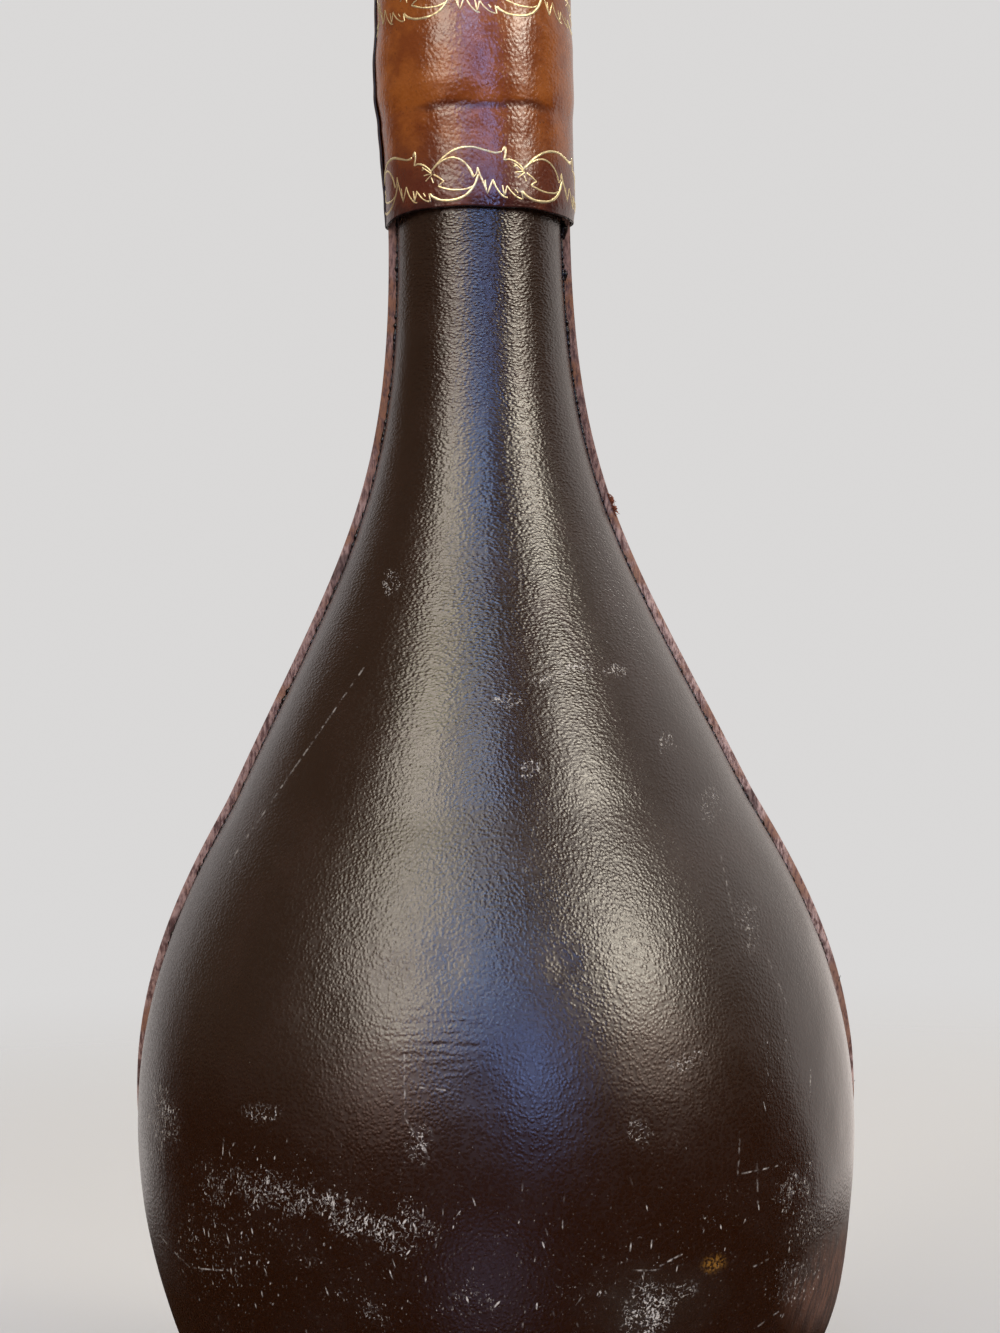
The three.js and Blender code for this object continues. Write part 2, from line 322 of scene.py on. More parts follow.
def make_group(name, output, effect, **sockets):
    """A shader node group with named sockets. Its one output is an effect worked out from its inputs."""
    group = bpy.data.node_groups.new(name, "ShaderNodeTree")
    for socket, kind in sockets.items():
        group.interface.new_socket(socket.replace("_", " "), in_out="INPUT", socket_type=kind)
    group.interface.new_socket(output, in_out="OUTPUT", socket_type=FLOAT)
    given = group.nodes.new("NodeGroupInput").outputs
    feed(group.nodes.new("NodeGroupOutput"), output, effect(*given[: len(sockets)]))
    print("group", name)
    return group


def use_group(group, **values):
    """The output of a group that is placed with its own values."""
    inputs = {name.replace("_", " "): value for name, value in values.items()}
    return add_node("ShaderNodeGroup", inputs, node_tree=group).outputs[0]


# %% [markdown]
# ## Effects that several leathers share
# Leather grain is small pebbles parted by fine creases. Voronoi cells give the pebbles, and noise that
# warps them keeps them from looking like a honeycomb. Worn leather also shows pale flecks, which gather in
# patches where the bottle was handled or stood against something, and single scratches. Each is a group
# with its own inputs.

# %% Leather grain group
GRAIN_WARP = (0.0003, 0.0003, 0.0003)


def grain_height(place, pebbles, fine):
    warp = vectors("MULTIPLY", noise_node(place, 900.0, 2.0, output="Color"), GRAIN_WARP)
    inputs = {"Vector": vectors("ADD", place, warp), "Scale": pebbles, "Smoothness": 0.25}
    cells = add_node("ShaderNodeTexVoronoi", inputs, feature="SMOOTH_F1").outputs["Distance"]
    return times_plus(noise_node(place, fine, 3.0, 0.62), 0.8, rescale(cells, 0.05, 0.8, 0.75, 0.0))


leather_grain = make_group("leather_grain", "Height", grain_height, Vector=VECTOR, Pebbles=FLOAT, Fine=FLOAT)

# %% Wear groups


def soft_ellipse(place, centre, half_size):
    """A soft ellipse on the wall, by its centre and half sizes across and up."""
    reach = vectors("LENGTH", vectors("DIVIDE", vectors("SUBTRACT", place, centre), half_size))
    return rescale(reach, 0.25, 1.1, 1.0, 0.0)


def flecks_mask(place, scale, amount):
    """Pale torn flecks: the peaks of a fine noise, gathered into clusters by a coarser one."""
    peaks = noise_node(place, scale, 3.0, 0.62)
    clusters = noise_node(place, times(scale, 0.16), 2.0)
    gathered = times(amount, rescale(clusters, 0.38, 0.60, 0.45, 1.0))
    least = times_plus(gathered, -0.135, 0.71)
    return rescale(peaks, least, plus(least, 0.045))


def strokes_mask(place, scale, amount):
    """Single short strokes: one in each long cell, present in a share of the cells."""
    cells = add_node("ShaderNodeTexVoronoi", {"Vector": place, "Scale": scale}, feature="F1").outputs
    ragged = noise_node(place, times(scale, 5.0), 2.0)
    stroke = rescale(times_plus(ragged, 0.25, cells["Distance"]), 0.22, 0.27, 1.0, 0.0)
    chance = add_node("ShaderNodeSeparateColor", {0: cells["Color"]}).outputs[0]
    return times(stroke, rescale(minus(amount, chance), 0.0, 0.12))


def curls_mask(place, scale):
    """Thin curled lines, such as the lifted rims of torn spots: where a noise crosses its middle value."""
    line = rescale(size_of(minus(noise_node(place, scale, 2.0), 0.5)), 0.004, 0.028, 1.0, 0.0)
    return times(line, rescale(noise_node(place, times(scale, 1.7), 2.0), 0.44, 0.56))


def scratch_mask(place, start, way, length, width):
    """A thin line between two points, broken by noise."""
    away = vectors("SUBTRACT", place, start)
    along = vectors("DOT_PRODUCT", away, way)
    kept = add_node("ShaderNodeClamp", {"Value": along, "Min": 0.0, "Max": length}).outputs[0]
    line = rescale(vectors("DISTANCE", away, vectors("SCALE", way, kept)), 0.0, width, 1.0, 0.0)
    return times(line, rescale(noise_node(place, 900.0), 0.45, 0.6))


wear_patch = make_group("wear_patch", "Mask", soft_ellipse, Vector=VECTOR, Centre=VECTOR, Half_size=VECTOR)
worn_flecks = make_group("worn_flecks", "Mask", flecks_mask, Vector=VECTOR, Scale=FLOAT, Amount=FLOAT)
worn_strokes = make_group("worn_strokes", "Mask", strokes_mask, Vector=VECTOR, Scale=FLOAT, Amount=FLOAT)
curled_lines = make_group("curled_lines", "Mask", curls_mask, Vector=VECTOR, Scale=FLOAT)
long_scratch = make_group(
    "long_scratch", "Mask", scratch_mask, Vector=VECTOR, From=VECTOR, Way=VECTOR, Length=FLOAT, Width=FLOAT
)

# %% [markdown]
# ## The dark leather of the back
# This is the surface that the photograph is full of: nearly black brown, satin, with a pebbled grain that
# is pulled into fine level creases on the neck, where the wet sheet was stretched and crowded. Below the
# belly it is redder and scuffed. The scuffs are placed on the wall in millimetres across and up, each with
# its own spread.

# %% Where the dark leather is worn
DARK_BROWN = (0.0165, 0.0066, 0.0032, 1)
DARK_RED = (0.0195, 0.0046, 0.0007, 1)
CLOUDED = (0.026, 0.0094, 0.0050, 1)
HAZE = (0.050, 0.040, 0.031, 1)
RUBBED = (0.150, 0.054, 0.024, 1)
RUST = (0.24, 0.105, 0.010, 1)
FLECK = (0.60, 0.555, 0.50, 1)
# Centre across, centre up, half width, half height and amount of each patch of upright scuffs.
SCUFFS = (
    (-34, 67, 24, 13, 0.6),
    (-47, 67, 7, 6, 0.85),
    (-38, 68.5, 8, 5.5, 1.0),
    (-29.5, 66.5, 8, 5.5, 1.1),
    (-21.5, 64.5, 8, 5.5, 1.2),
    (-13.5, 64.5, 6, 6, 1.1),
    (-31, 58, 4.5, 4, 0.75),
    (-27, 51.5, 3.5, 3.5, 0.65),
    (-20.5, 50, 6, 4.5, 0.85),
    (-4, 52, 8, 5, 0.75),
    (-57, 76, 5, 9, 0.95),
    (-45, 57, 15, 15, 0.6),
    (16, 54, 4, 4, 0.65),
    (49, 64.5, 5.5, 5.5, 1.15),
    (53, 57, 7, 6, 0.75),
    (49.5, 48.5, 9, 8, 0.75),
    (35.5, 63.5, 8, 6, 0.55),
    (46, 85, 4, 8, 0.4),
    (0, 57, 60, 18, 0.34),
)
# The same for small torn marks.
MARKS = (
    (-38, 80.8, 5, 2.4, 0.8),
    (-12.4, 77.5, 3, 4.5, 0.7),
    (23.5, 48.5, 5, 6, 1.9),
    (28.5, 51, 4, 3, 0.7),
    (22.8, 78, 2.6, 4, 0.95),
    (30, 88.5, 5, 2.2, 0.8),
    (-16.4, 167, 1.6, 2.8, 1.1),
    (2.8, 146.6, 3.4, 2, 1.15),
    (15, 152.2, 5, 1.7, 1.6),
    (10.5, 150.3, 2.8, 1.6, 1.6),
    (22.3, 151, 2.4, 1.5, 1.5),
    (6.7, 135.3, 2.2, 2.8, 1.15),
    (30.7, 138.2, 2.4, 3, 1.2),
    (38, 128, 4, 5, 0.5),
    (43, 108, 4, 8, 0.45),
)
# Start and end of each long scratch, across and up, and how strong it is.
SCRATCHES = (
    ((-21.3, 152.4), (-45.2, 119.3), 0.6),
    ((-14.4, 91.7), (-14.4, 81.2), 0.6),
    ((-14.4, 81.2), (-10.5, 75), 0.7),
    ((-58.4, 55.2), (-52.1, 52.1), 0.5),
    ((-52.1, 52.1), (-44.7, 53.6), 0.8),
    ((39.5, 76), (39, 69), 0.6),
    ((39.5, 69.1), (46.1, 69.1), 0.8),
    ((42.4, 70.8), (42.5, 63.4), 0.4),
    ((20.3, 55.9), (25.7, 55.4), 0.8),
    ((25.7, 56.1), (29.3, 57.5), 0.8),
    ((41.6, 53), (44.7, 53.8), 0.9),
    ((42.7, 42.2), (46.4, 43.7), 0.7),
    ((53.2, 83.1), (52.8, 78.5), 0.8),
    ((38.8, 120.3), (40.5, 108.3), 0.4),
    ((46.2, 102), (49.7, 93.5), 0.4),
    ((-12, 86), (-8, 85.6), 0.6),
)
SCRATCH_WIDTH = 0.22 * MM
RUST_SPOT = (34.7, 55.0, 2.6, 1.9, 1.0)
RUBBED_SIDE = (60, 44, 14, 12, 1.0)
POLISHED_SIDE = (59, 80, 15, 32, 1.3)
WRINKLES = (-9, 94, 12, 7, 1.0)
# Patches with a grey film of dust.
FILMS = ((24, 49.5, 14, 9, 0.55), (54, 52, 10, 9, 0.15))
print("wear", len(SCUFFS), "scuffs", len(MARKS), "marks", len(SCRATCHES), "scratches")

# %% Wear masks of the dark leather
# Lean in degrees, length and scale of each layer of short strokes.
STROKE_LAYERS = ((4, 6.5, 900.0), (-17, 6.5, 980.0), (40, 6.5, 800.0), (11, 3.5, 1400.0))
SCUFFS_STRAY = 0.011
MARKS_STRAY = 0.005
# Heights between which the leather passes into that of the neck, of the belly and of the lower part.
NECK_HEIGHTS = (0.115, 0.160)
BELLY_HEIGHTS = (0.112, 0.084)
LOW_HEIGHTS = (0.105, 0.060)


def worn_places(across_up, places):
    """The strongest of several soft patches at every point."""
    wear = 0.0
    for x, z, wide, tall, amount in places:
        ellipse = {"Centre": (x * MM, 0, z * MM), "Half_size": (wide * MM, 1, tall * MM)}
        mask = use_group(wear_patch, Vector=across_up, **ellipse)
        wear = larger(wear, times(mask, amount))
    return wear


def scratch_lines(across_up):
    """All long scratches as one mask."""
    lines = 0.0
    for (x, z), (end_x, end_z), strength in SCRATCHES:
        way = flat(end_x - x, end_z - z) * MM
        values = {"From": (x * MM, 0, z * MM), "Way": way.normalized(), "Length": way.length}
        line = use_group(long_scratch, Vector=across_up, Width=SCRATCH_WIDTH, **values)
        lines = larger(lines, times(line, strength))
    return lines


def strayed(place, across_up, reach):
    """The same places, moved about by noise, so that a patch gets a ragged outline."""
    away = vectors("SUBTRACT", noise_node(place, 190.0, output="Color"), (0.5, 0.5, 0.5))
    return vectors("ADD", across_up, vectors("SCALE", away, reach))


def pale_wear(place, across_up):
    """Scuffs, torn marks, scratches and dust as one mask of pale flecks."""
    scuffed = worn_places(strayed(place, across_up, SCUFFS_STRAY), SCUFFS)
    dots = use_group(worn_flecks, Vector=tilted(place, 1.8, 7), Scale=3100.0, Amount=scuffed)
    flecks = larger(scratch_lines(across_up), times(dots, rescale(scuffed, 0.05, 0.3)))
    frequent = times(scuffed, 0.68)
    for lean, length, scale in STROKE_LAYERS:
        upright = tilted(place, length, lean)
        flecks = larger(flecks, use_group(worn_strokes, Vector=upright, Scale=scale, Amount=frequent))
    marked = worn_places(strayed(place, across_up, MARKS_STRAY), MARKS)
    torn = use_group(worn_flecks, Vector=place, Scale=2600.0, Amount=marked)
    curls = use_group(curled_lines, Vector=place, Scale=900.0)
    flecks = larger(flecks, times(larger(torn, curls), rescale(marked, 0.15, 0.6)))
    flecks = larger(flecks, times(curls, rescale(scuffed, 0.62, 0.95, 0.0, 0.8)))
    flecks = times(flecks, rescale(noise_node(place, 1300.0, 2.0), 0.36, 0.6, 0.3, 1.0))
    settled = rescale(split(across_up)["Z"], *LOW_HEIGHTS, -0.35, 0.22)
    dust = use_group(worn_flecks, Vector=place, Scale=2100.0, Amount=settled)
    return larger(flecks, times(dust, 0.38))


# %% Dark leather


def make_dark_leather():
    material, shader, place = start_material("dark_leather", Specular_IOR_Level=1.0)
    parts = split(place)
    across_up = add_node("ShaderNodeCombineXYZ", {"X": parts["X"], "Z": parts["Z"]}).outputs[0]
    on_neck = rescale(parts["Z"], *NECK_HEIGHTS)
    on_belly = rescale(parts["Z"], *BELLY_HEIGHTS)
    polished = smaller(worn_places(across_up, [POLISHED_SIDE]), 1.0)
    rubbed = worn_places(across_up, [RUBBED_SIDE])

    body_grain = use_group(leather_grain, Vector=place, Pebbles=1650.0, Fine=2600.0)
    level = stretched(place, (1.6, 1.6, 0.85))
    neck_grain = use_group(leather_grain, Vector=level, Pebbles=2000.0, Fine=3000.0)
    grain = add_node("ShaderNodeMix", {0: on_neck, 2: body_grain, 3: neck_grain}).outputs[0]
    folds = times(noise_node(stretched(place, (7, 7, 1)), 1000.0, 1.0), worn_places(across_up, [WRINKLES]))
    strength = times_plus(on_belly, -0.34, rescale(on_neck, 0.0, 1.0, 0.76, 0.86))
    strength = times_plus(polished, -0.22, strength)
    broad = bumped(shader, noise_node(place, 210.0, 3.0, 0.6), 0.00008)
    bumped(shader, times_plus(grain, strength, times(folds, 1.8)), 0.000075, broad)

    cloud = noise_node(place, 90.0, 4.0, 0.55)
    streaks = noise_node(tilted(place, 5, 20), 900.0)
    specks = rescale(noise_node(place, 2200.0), 0.46, 0.57)
    flecks = pale_wear(place, across_up)
    tone = painted(
        mix_colour(rescale(parts["Z"], *LOW_HEIGHTS), DARK_BROWN, DARK_RED),
        (rescale(cloud, 0.42, 0.72, 0.0, 0.35), CLOUDED),
        (times(rubbed, rescale(streaks, 0.38, 0.62, 0.25, 1.0)), RUBBED),
        (times(worn_places(across_up, [RUST_SPOT]), specks), RUST),
        (times(worn_places(across_up, FILMS), rescale(cloud, 0.4, 0.6, 0.4, 1.0)), HAZE),
        (times(flecks, 0.9), FLECK),
    )
    feed(shader, "Base Color", tone)
    satin = plus(rescale(cloud, 0.3, 0.75, 0.20, 0.25), rescale(grain, 0.75, 0.45, 0.0, 0.07))
    by_place = (on_belly, 0.01), (on_neck, -0.035), (polished, -0.14), (rubbed, 0.5), (flecks, 0.35)
    for mask, change in by_place:
        satin = times_plus(mask, change, satin)
    feed(shader, "Roughness", satin)
    return material


dark_leather = make_dark_leather()
print("material", dark_leather.name, len(dark_leather.node_tree.nodes), "nodes")

# %% [markdown]
# ## Chestnut leather, the collar's cognac leather and cut edges
# The front sheet is a warmer brown with the same grain, and the stopper's top is a duller umber. The collar
# is thin, polished and dyed by hand: orange where it was rubbed and darker red towards its lower edge. A
# cut edge shows the fibres of the hide: pinkish brown and rough on the front sheet, and dyed nearly black
# on the collar.

# %% Chestnut and collar leather
# Deep, light and burnt tone of each waxed leather.
CHESTNUT = ((0.105, 0.029, 0.0095, 1), (0.190, 0.058, 0.0170, 1), (0.036, 0.0105, 0.0050, 1))
UMBER = ((0.076, 0.0225, 0.0080, 1), (0.135, 0.0430, 0.0140, 1), (0.038, 0.0115, 0.0050, 1))
PALE_RUB = (0.42, 0.27, 0.17, 1)
COGNAC = ((0.180, 0.039, 0.0060, 1), (0.300, 0.080, 0.0105, 1))
COGNAC_EDGE = (0.075, 0.0125, 0.0080, 1)
COGNAC_RIM = (0.022, 0.0065, 0.0075, 1)
# Painted shade for the collar's crease, laid only on the side that faces the camera.
COGNAC_CREASE_SHADE = (0.060, 0.0095, 0.0040, 1)
COGNAC_PORES = (0.045, 0.010, 0.005, 1)
CREASE_HEIGHT = COLLAR_BOTTOM + 18.6 * MM


def make_hide(name, tones, roughness, shine):
    """Waxed leather: two close tones, darker by its cut edges and at the foot, and rubbed pale low down."""
    deep, light, burnt = tones
    material, shader, place = start_material(name, Specular_IOR_Level=shine)
    parts = split(place)
    cloud = noise_node(place, 48.0, 5.0, 0.55)
    mottle = times_plus(noise_node(place, 330.0, 4.0, 0.6), 0.6, times(cloud, 0.4))
    # Darker near the sheet's side edges, where Y is small, and towards the foot.
    by_edge = rescale(parts["Y"], 0.017, 0.003, 0.0, 0.55)
    by_foot = rescale(parts["Z"], 0.055, 0.010, 0.0, 0.7)
    edge_and_foot_darkening = times(larger(by_edge, by_foot), rescale(cloud, 0.3, 0.6, 0.6, 1.0))
    pores = use_group(worn_flecks, Vector=place, Scale=1500.0, Amount=0.45)
    handled = times(rescale(parts["Z"], 0.090, 0.062), rescale(cloud, 0.46, 0.66, 0.15, 0.8))
    upright = stretched(place, (1, 1, 5.0), (math.radians(8), 0, 0))
    strokes = use_group(worn_strokes, Vector=upright, Scale=900.0, Amount=handled)
    specks = use_group(worn_flecks, Vector=place, Scale=2600.0, Amount=handled)
    pale = times(larger(strokes, specks), 0.7)
    tone = mix_colour(rescale(mottle, 0.36, 0.64), deep, light)
    feed(shader, "Base Color", painted(tone, (edge_and_foot_darkening, burnt), (times(pores, 0.55), burnt), (pale, PALE_RUB)))
    grain = use_group(leather_grain, Vector=place, Pebbles=1350.0, Fine=2600.0)
    satin = plus(rescale(cloud, 0.3, 0.75, roughness, roughness + 0.08), rescale(grain, 0.75, 0.45, 0.0, 0.1))
    feed(shader, "Roughness", times_plus(pale, 0.3, satin))
    broad = bumped(shader, noise_node(place, 210.0, 3.0, 0.6), 0.00009)
    bumped(shader, grain, 0.000085, broad)
    return material


def make_cognac(name, low_edge, high_edge, crease=0.0):
    """Polished collar leather, darker and of a deeper red towards its two edges, with painted shade in its
    crease.
    """
    material, shader, place = start_material(name, Specular_IOR_Level=1.0)
    parts = split(place)
    cloud = noise_node(place, 150.0, 5.0, 0.62)
    ragged = times_plus(cloud, 0.010, parts["Z"])
    from_low = rescale(ragged, low_edge + 0.023, low_edge + 0.010)
    from_high = rescale(ragged, high_edge - 0.001, high_edge + 0.008)
    at_rim = rescale(ragged, low_edge + 0.0085, low_edge + 0.0055)
    wander = times_plus(noise_node(place, 260.0), 0.0022, parts["Z"])
    from_crease = size_of(minus(wander, crease + 0.0011))
    in_view = times(rescale(parts["X"], -0.013, -0.007, 0.0, 0.8), rescale(parts["X"], 0.0150, 0.0105))
    pores = use_group(worn_flecks, Vector=place, Scale=2200.0, Amount=0.7)
    tone = painted(
        mix_colour(rescale(cloud, 0.34, 0.66), *COGNAC),
        (times(larger(from_low, from_high), 0.85), COGNAC_EDGE),
        (times(at_rim, 0.7), COGNAC_RIM),
        # painted shade along the crease, on the side that faces the camera
        (times(rescale(from_crease, 0.0013, 0.0001), in_view), COGNAC_CREASE_SHADE),
        (times(pores, 0.6), COGNAC_PORES),
    )
    feed(shader, "Base Color", tone)
    feed(shader, "Roughness", rescale(cloud, 0.3, 0.75, 0.17, 0.25))
    broad = bumped(shader, noise_node(place, 420.0, 2.0), 0.00006)
    grain = use_group(leather_grain, Vector=place, Pebbles=1350.0, Fine=2600.0)
    bumped(shader, grain, 0.000044, broad)
    return material


chestnut_leather = make_hide("chestnut_leather", CHESTNUT, 0.22, 0.6)
umber_leather = make_hide("umber_leather", UMBER, 0.60, 0.22)
cognac_leather = make_cognac("cognac_leather", COLLAR_BOTTOM, COLLAR_TOP, CREASE_HEIGHT)
print("materials", chestnut_leather.name, umber_leather.name, cognac_leather.name)

# %% Cut edges, glue and gilding
# Tones of the raw edge at the belly, and deeper red and darker ones at the neck and on the left side. On the
# left side the darker tones are painted shade.
RAW_PALE = ((0.64, 0.430, 0.370, 1), (0.32, 0.180, 0.145, 1))
RAW_DEEP = ((0.160, 0.075, 0.062, 1), (0.100, 0.043, 0.034, 1))
RAW_TAN = (0.26, 0.095, 0.028, 1)
RAW_SOILED = (0.045, 0.023, 0.019, 1)
# Tone and paler spots of dyed edges and glue, and whole and worn gilding.
DYED_EDGE = ((0.012, 0.008, 0.009, 1), (0.05, 0.03, 0.028, 1))
SEAM_GLUE = ((0.006, 0.004, 0.004, 1), (0.03, 0.02, 0.017, 1))
GOLD = ((1.0, 0.87, 0.50, 1), (0.66, 0.42, 0.17, 1))


def make_raw_edge():
    """The cut rim of a hide: rough fibres in pinkish brown, with tan and soiled stretches."""
    material, shader, place = start_material("raw_edge", Specular_IOR_Level=0.35)
    fibres = noise_node(stretched(place, (1, 1, 3.5)), 1700.0, 4.0, 0.7)
    cloud = noise_node(place, 130.0)
    parts = split(place)
    # Deeper red and darker at the neck, and darker on the left side as painted shade.
    neck_tone_and_left_shade = larger(rescale(parts["Z"], 0.165, 0.195), rescale(parts["X"], 0.01, -0.01, 0.0, 0.6))
    tan = times(rescale(cloud, 0.48, 0.60), rescale(fibres, 0.35, 0.55))
    tone = painted(
        mix_colour(rescale(fibres, 0.37, 0.60), mix_colour(neck_tone_and_left_shade, *RAW_DEEP), mix_colour(neck_tone_and_left_shade, *RAW_PALE)),
        (times(tan, 0.7), RAW_TAN),
        (rescale(cloud, 0.42, 0.34, 0.0, 0.6), RAW_SOILED),
    )
    feed(shader, "Base Color", tone)
    feed(shader, "Roughness", rescale(fibres, 0.3, 0.7, 0.5, 0.75))
    bumped(shader, fibres, 0.00022)
    return material


def two_toned(name, shine, pattern, passage, tones, roughness, relief):
    """A plain material: one noise pattern mixes two tones and moves gloss and bump."""
    material, shader, place = start_material(name, Specular_IOR_Level=shine)
    draw, *settings = pattern
    cloud = noise_node(stretched(place, (1, 1, draw)) if draw else place, *settings)
    feed(shader, "Base Color", mix_colour(rescale(cloud, *passage), *tones))
    feed(shader, "Roughness", rescale(cloud, 0.3, 0.7, *roughness))
    bumped(shader, cloud, relief)
    return material


def make_dyed_edge(name, tones, roughness):
    """Dark dyed edge or glue: one tone with paler rubbed spots."""
    pattern = (None, 900.0, 4.0, 0.6)
    return two_toned(name, 0.5, pattern, (0.5, 0.75), tones, (roughness, roughness + 0.2), 0.00015)


def make_gilding():
    """Gold foil pressed into leather: bright, and rubbed through to the brown in spots."""
    material, shader, place = start_material("gilding")
    rubbed = rescale(noise_node(place, 700.0, 4.0, 0.65), 0.54, 0.72)
    feed(shader, "Base Color", mix_colour(rubbed, *GOLD))
    feed(shader, "Metallic", rescale(rubbed, 0.0, 1.0, 0.82, 0.4))
    feed(shader, "Roughness", rescale(rubbed, 0.0, 1.0, 0.34, 0.5))
    bumped(shader, noise_node(place, 2400.0, 2.0), 0.00006)
    return material


raw_edge = make_raw_edge()
dyed_edge = make_dyed_edge("dyed_edge", DYED_EDGE, 0.4)
seam_glue = make_dyed_edge("seam_glue", SEAM_GLUE, 0.14)
gilding = make_gilding()
print("materials", raw_edge.name, dyed_edge.name, seam_glue.name, gilding.name)

# %% [markdown]
# ## From flat sheets to moulded panels
# A panel starts as a flat grid, as the real one starts as a flat hide. Each of its points is then laid on
# the bottle, and a Solidify modifier gives the leather its thickness inwards, with another material on the
# cut rim. A narrow bevel takes the sharpness off the edges. Bumps and dents that can be seen are moved in
# the mesh itself.

# %% Sheet helper
GLUE = 0.2 * MM
PANEL_LEATHER = 1.5 * MM
UNDER_TOP = GLUE + PANEL_LEATHER
LAP_TOP = 2 * UNDER_TOP


def link_piece(mesh, body, slot, materials, *replaced):
    """Makes a mesh a piece of the object, which rides on a CAD body and may replace some of its nodes."""
    for material in materials:
        mesh.materials.append(material)
    mesh.shade_smooth()
    piece = bpy.data.objects.new(mesh.name, mesh)
    bpy.context.scene.collection.objects.link(piece)
    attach(piece, body)
    if replaced:
        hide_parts(*replaced)
    return piece


def mesh_of(bm, name):
    mesh = bpy.data.meshes.new(name)
    bm.to_mesh(mesh)
    bm.free()
    return mesh


def wrapped_sheet(name, columns, rows, lay):
    """A flat grid laid on the bottle by a function of its share across and up, facing away from the axis."""
    bm = bmesh.new()
    bmesh.ops.create_grid(bm, x_segments=columns, y_segments=rows, size=0.5)
    for vert in bm.verts:
        vert.co = lay(vert.co.x + 0.5, vert.co.y + 0.5)
    bm.normal_update()
    facing = sum(face.normal.dot(Vector((*face.calc_center_median().xy, 0))) for face in bm.faces)
    if facing < 0:
        bmesh.ops.reverse_faces(bm, faces=bm.faces)
    print(f"{name}: {len(bm.verts)} points")
    return mesh_of(bm, name)


def thicken(piece, thickness, edge_round):
    """Leather thickness inwards, with the rim in the piece's second material, and rounded edges."""
    solid = piece.modifiers.new("thickness", "SOLIDIFY")
    solid.thickness = thickness
    solid.offset = -1.0
    solid.use_even_offset = True
    solid.material_offset_rim = 1
    edge = piece.modifiers.new("edge", "BEVEL")
    edge.width = edge_round
    edge.segments = 2
    edge.limit_method = "ANGLE"
    edge.angle_limit = math.radians(55)


def ripple(place, size, amount):
    """Smooth unevenness of a hand-moulded surface."""
    return amount * noise.noise(place / size)


# %% [markdown]
# ## Back and front panels
# The seam runs down each side. From the shoulder up it lies in the plane of the axis, and below the belly
# it drifts away from the camera, which is why the raw edge disappears from view there. The front panel
# steps over the back panel's edge at the lap. Near the heel the two only meet, because a lap would not fold
# under the foot.

# %% Panels
SEAM_DRIFT = 9.0 * MM
LAP_WIDTH = 5.0 * MM
LAP_STEP = 4.0 * MM
SEAM_WANDER = 0.18 * MM
DRIFT_START = 0.110
DRIFT_LENGTH = 0.065
LAP_START = 0.012
LAP_GROWTH = 0.012
CUT_GAP = 0.15 * MM
EDGE_CALM = 8 * MM
PANEL_GRID = (150, 250)
# How far the front panel's columns crowd towards its edges, where it steps over the lap.
EDGE_CROWDING = 0.75
# Where the leather came loose at the lower right: its middle, its spread and how far it stands off.
LOOSE_TURN = math.radians(84)
LOOSE_SPREAD = math.radians(26)
LOOSE_HEIGHT = 37 * MM
LOOSE_TALL = 13 * MM
LOOSE_RISE = 1.5 * MM
# Small dents in the back: across, up, radius and depth, in millimetres.
DENTS = ((-6.8, 105, 2.6, 0.22), (11.1, 104.5, 2.0, 0.30), (-17, 103, 3.0, 0.12), (-28, 97, 4, 0.10))
# Where fine level creases crowd: across, up, half width, half height, and then their depth and spacing.
CROWDED = (-5, 94, 9, 6)
CROWD_DEPTH = 0.06
CROWD_SPACING = 0.36


def seam_depth(height, side):
    """How far behind the plane of the axis the front panel's edge runs, with the knife's small wander."""
    drift = SEAM_DRIFT * smooth((DRIFT_START - height) / DRIFT_LENGTH)
    return drift + ripple(Vector((side, 0, height)), 0.006, SEAM_WANDER)


def lapped(height):
    """1 where the panels lap, 0 by the heel."""
    return smooth((height - LAP_START) / LAP_GROWTH)


def back_dents(place):
    depth = 0.0
    for x, z, radius, deep in DENTS:
        away = ((place.x / MM - x) ** 2 + (place.z / MM - z) ** 2) / radius**2
        depth += deep * MM * math.exp(-away)
    x, z, wide, tall = CROWDED
    crowd = math.exp(-(((place.x / MM - x) / wide) ** 2) - ((place.z / MM - z) / tall) ** 2)
    wave = math.sin(place.z / (CROWD_SPACING * MM) + 2 * noise.noise(place * 300))
    return depth + crowd * CROWD_DEPTH * MM * wave


def stand_off(turn, height):
    """How far the loose leather at the lower right stands off the glass."""
    across = (turn - LOOSE_TURN) / LOOSE_SPREAD
    up = (height - LOOSE_HEIGHT) / LOOSE_TALL
    return LOOSE_RISE * math.exp(-across * across - up * up)


def uneven(place):
    return ripple(place, 0.022, 0.16 * MM) + ripple(place, 0.007, 0.05 * MM)


def lay_back(across, along):
    point, out = on_glass(along)
    radius = point.x + out.x * UNDER_TOP
    height = point.z + out.z * UNDER_TOP
    side = 1 if across > 0.5 else -1
    reach = seam_depth(height, side) - CUT_GAP + (LAP_WIDTH + CUT_GAP) * lapped(height)
    half = math.pi / 2 + math.asin(min(reach / radius, 1))
    turn = (across - 0.5) * 2 * half
    place = around(radius, turn, height)
    swell = (uneven(place) - back_dents(place)) * smooth(math.cos(turn) * 4) + stand_off(turn, height)
    return place + around(out.x, turn, out.z) * swell


def lay_front(across, along):
    point, out = on_glass(along)
    across -= EDGE_CROWDING * math.sin(2 * math.pi * across) / (2 * math.pi)
    height = point.z + out.z * UNDER_TOP
    side = 1 if across < 0.5 else -1
    start = math.asin(min(seam_depth(height, side) / (point.x + LAP_TOP), 1))
    sweep = math.pi - 2 * start
    from_edge = min(across, 1 - across) * sweep * point.x
    raised = (1 - smooth((from_edge - LAP_WIDTH) / LAP_STEP)) * lapped(height)
    offset = UNDER_TOP + (LAP_TOP - UNDER_TOP) * raised
    turn = math.pi / 2 + start + across * sweep
    place = around(point.x + out.x * offset, turn, point.z + out.z * offset)
    swell = uneven(place) * smooth(from_edge / EDGE_CALM) + stand_off(turn, height)
    return place + around(out.x, turn, out.z) * swell


